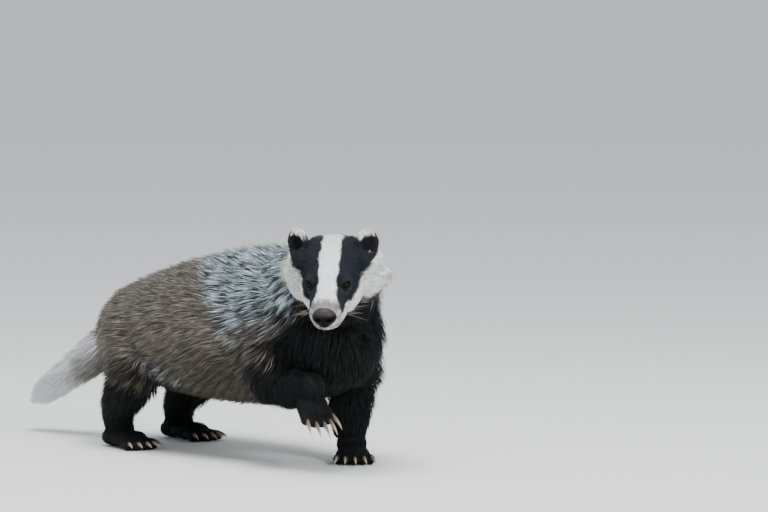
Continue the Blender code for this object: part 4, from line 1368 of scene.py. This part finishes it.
def make_eye(side, name):
    """An eyeball with a bulging clear front, a dark brown iris and a round pupil."""
    eye = ball((0, 0, 0), [EYE_RADIUS] * 3, Matrix.Identity(4), 64, 48)
    rows = values(eye.data.vertices, "co", 3)
    off = np.hypot(rows[:, 1], rows[:, 2])
    front = rows[:, 0] > 0
    rows[:, 0] += CORNEA * smooth(off, 0.0046, 0.0) * front
    eye.data.vertices.foreach_set("co", rows.ravel())
    colour = mix(EYE_DARK, IRIS, smooth(off, *IRIS_EDGE) * front)
    set_tint(eye, mix(colour, PUPIL, smooth(off, *PUPIL_EDGE) * front))
    settle(eye, HOME @ eye_frame(side))
    eye.name = "eyeball_" + name
    wear(eye, eye_material())
    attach(eye, "root")
    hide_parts("eye_" + name)


def make_nose():
    """The nose pad with its two comma-shaped nostrils and the groove between them."""
    pieces = [
        ball(NOSE, NOSE_RADII, HEAD_FRAME),
        ball(NOSE + Vector((0.001, 0, -0.005)), (0.0105, 0.0105, 0.01), HEAD_FRAME),
        ball(NOSE + Vector((-0.004, 0, 0.003)), (0.011, 0.015, 0.01), HEAD_FRAME),
    ]
    nose = fused("nose_pad", pieces, NOSE_VOXEL, 6)
    cuts = []
    for side in (1, -1):
        pit = NOSE + sided(NOSTRIL, side)
        cuts.append(ball(pit, (0.0065, 0.0028, 0.0025), HEAD_FRAME))
        for step in range(6):
            t = step / 5
            spot = Vector((-0.001 - 0.0052 * t, side * 0.0062 * t ** 0.8, -0.0006 + 0.0022 * t * t))
            width = 0.0021 - 0.0012 * t
            cuts.append(ball(pit + spot, (0.0042, width * 1.2, width * 0.75), HEAD_FRAME, 16, 10))
    cuts.append(ball(NOSE + Vector((0.0128, 0, -0.008)), (0.003, 0.0005, 0.0085), HEAD_FRAME))
    combine(nose, "DIFFERENCE", cuts)
    fsu = into_frame(HEAD_FRAME, values(nose.data.vertices, "co", 3)) - np.array(NOSE)
    # Dark below and grey on top, where the grey is a painted sheen.
    set_tint(nose, mix(NOSE_UNDER, NOSE_TOP_SHEEN, smooth(fsu[:, 2] - 0.3 * fsu[:, 0], 0.0005, 0.0075)))
    settle(nose, HOME)
    wear(nose, nose_material())
    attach(nose, "root")
    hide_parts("nose")


def claw_shape(length):
    """A claw along X from its root: deep at the base, arched, with the point turned down."""
    steps = 10
    sections = [((-0.005, 0, -0.0005), CLAW_RADIUS * 0.75, CLAW_RADIUS * 0.85)]
    for k in range(steps):
        t = k / (steps - 1)
        fall = 0.0005 + 0.0011 * t - 0.0045 * t ** 2.4
        narrow = (1 - t ** 1.6) * 0.8 + 0.06
        sections.append(((length * 0.96 * t, 0, fall), CLAW_RADIUS * narrow, CLAW_RADIUS * narrow * 1.25))
    return loft(sections, sides=14, tip=0.3)


def make_claws(paw):
    """The five claws of a paw, each at the tip of its toe, brown at the root and paler to the tip."""
    pieces = []
    tones = []
    lean = Matrix.Rotation(math.radians(6), 4, "Y")
    for _, tip, yaw in toes_of(paw):
        claw = claw_shape(paw.claw)
        share = smooth(values(claw.data.vertices, "co", 3)[:, 0], 0.0, paw.claw)
        tones.append(mix(CLAW_ROOT, CLAW_TIP, share))
        way = Vector((math.cos(yaw), math.sin(yaw), 0))
        spot = Matrix.Translation(tip + way * TOE_RADIUS * 0.5 + Vector((0, 0, 0.0016)))
        pieces.append(settle(claw, HOME @ paw.place @ spot @ Matrix.Rotation(yaw, 4, "Z") @ lean))
    made = joined("claws_" + paw.name, pieces)
    set_tint(made, np.concatenate(tones))
    wear(made, claw_material())
    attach(made, "root")
    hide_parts(*["claw_" + paw.name + "_" + str(number) for number in range(1, 6)])


def make_whiskers(surface):
    """Fine bristles on the muzzle's sides and the chin."""
    draw = np.random.default_rng(WHISKER_SEED)
    rows = []
    ways = []
    lengths = []
    for side in (1, -1):
        for _ in range(SIDE_WHISKERS):
            f = draw.uniform(0.066, 0.097)
            u = draw.uniform(-0.024, -0.006)
            rows.append((f, side * 0.03, u))
            back = -0.55 + draw.normal(0, 0.15)
            out = side * (1.0 + draw.normal(0, 0.1))
            ways.append((back, out, -0.35 + draw.normal(0, 0.25)))
            lengths.append(draw.uniform(0.018, 0.046))
        for _ in range(CHIN_WHISKERS):
            rows.append((draw.uniform(0.06, 0.088), side * draw.uniform(0.002, 0.012), -0.05))
            ways.append((-0.35, side * draw.uniform(0.0, 0.5), -1.0))
            lengths.append(draw.uniform(0.01, 0.02))
    roots, normals = surface.nearest(turned(HEAD_FRAME, np.array(rows)) + np.array(HEAD))
    ways = unit(turned(HEAD_FRAME, np.array(ways)))
    lengths = np.array(lengths)
    count = len(roots)
    steps = 3
    path = np.empty((count, steps + 1, 3))
    for k in range(steps + 1):
        t = k / steps
        path[:, k] = roots + ways * (lengths * t)[:, None]
        path[:, k, 2] -= lengths * 0.12 * t * t
    path[:, 0] -= normals * ROOT_SINK
    outward = np.repeat(normals[:, None], steps + 1, axis=1)
    colours = np.outer((0.5, 0.8, 1.0, 1.0), WHISKER)[None].repeat(count, axis=0)
    hairs = (path, outward, np.full(count, WHISKER_WIDTH), colours, np.full((count, 2), 0.5))
    bristle = tinted_material("whisker_bristle", roughness=0.4, specular=0.18)
    made = tufts("whiskers", hairs, bristle, draw)


# Stage, light and camera


def aim(obj, place, target):
    """Puts a camera or a lamp at place, looking at target."""
    bpy.context.scene.collection.objects.link(obj)
    obj.location = place
    obj.rotation_euler = (Vector(target) - Vector(place)).to_track_quat("-Z", "Y").to_euler()


def area_light(name, place, target, size, energy):
    light = bpy.data.lights.new(name, "AREA")
    light.shape = "SQUARE"
    light.size = size
    light.energy = energy
    light.color = LAMP_COLOUR
    aim(bpy.data.objects.new(name, light), place, target)


def make_stage():
    """A pale floor, soft light from above and a little from the camera's side, and the camera."""
    bm = bmesh.new()
    bmesh.ops.create_circle(bm, cap_ends=True, segments=96, radius=30.0)
    floor = from_bmesh("floor", bm)
    made = bpy.data.materials.new("floor_pale")
    made.use_nodes = True
    shader = made.node_tree.nodes["Principled BSDF"]
    shader.inputs["Base Color"].default_value = FLOOR_COLOUR
    shader.inputs["Roughness"].default_value = 0.9
    floor.data.materials.append(made)
    right = Vector((math.sin(CAMERA_AZIMUTH), math.cos(CAMERA_AZIMUTH), 0))
    toward = Vector((math.cos(CAMERA_AZIMUTH), -math.sin(CAMERA_AZIMUTH), 0))
    target = 0.197 * right + 0.1 * toward + Vector((0, 0, 0.28)) - BOX_MIDDLE
    view = toward * math.cos(CAMERA_ELEVATION) + Vector((0, 0, math.sin(CAMERA_ELEVATION)))
    data = bpy.data.cameras.new("camera")
    data.sensor_width = SENSOR
    data.lens = PIXELS_IN_METRE * CAMERA_DISTANCE / PICTURE_WIDTH * SENSOR
    data.clip_end = 100.0
    camera = bpy.data.objects.new("camera", data)
    aim(camera, target + view * CAMERA_DISTANCE, target)
    bpy.context.scene.camera = camera
    world = bpy.data.worlds.new("studio")
    bpy.context.scene.world = world
    world.use_nodes = True
    ground = world.node_tree.nodes["Background"]
    ground.inputs["Color"].default_value = SKY_COLOUR
    ground.inputs["Strength"].default_value = SKY_STRENGTH
    area_light("key", (0.6, -0.5, 3.0), (0, 0, 0.15), 1.5, KEY_POWER)
    area_light("fill", toward * 3.0 + right * 1.9 + Vector((0, 0, 1.5)), (0.1, 0, 0.2), 0.8, FILL_POWER)


def main():
    skin = make_skin()
    unwrap(skin)
    surface = Surface(skin)
    coat = tinted_material("coat_hair", roughness=0.55, specular=0.18)
    for make_coat in (body_coat, limb_coat, tail_coat, head_coat):
        make_coat(surface, coat)
    finish_skin(skin, surface)
    make_eye(1, "left")
    make_eye(-1, "right")
    make_nose()
    for paw in PAWS:
        make_claws(paw)
    make_whiskers(surface)
    make_stage()


main()
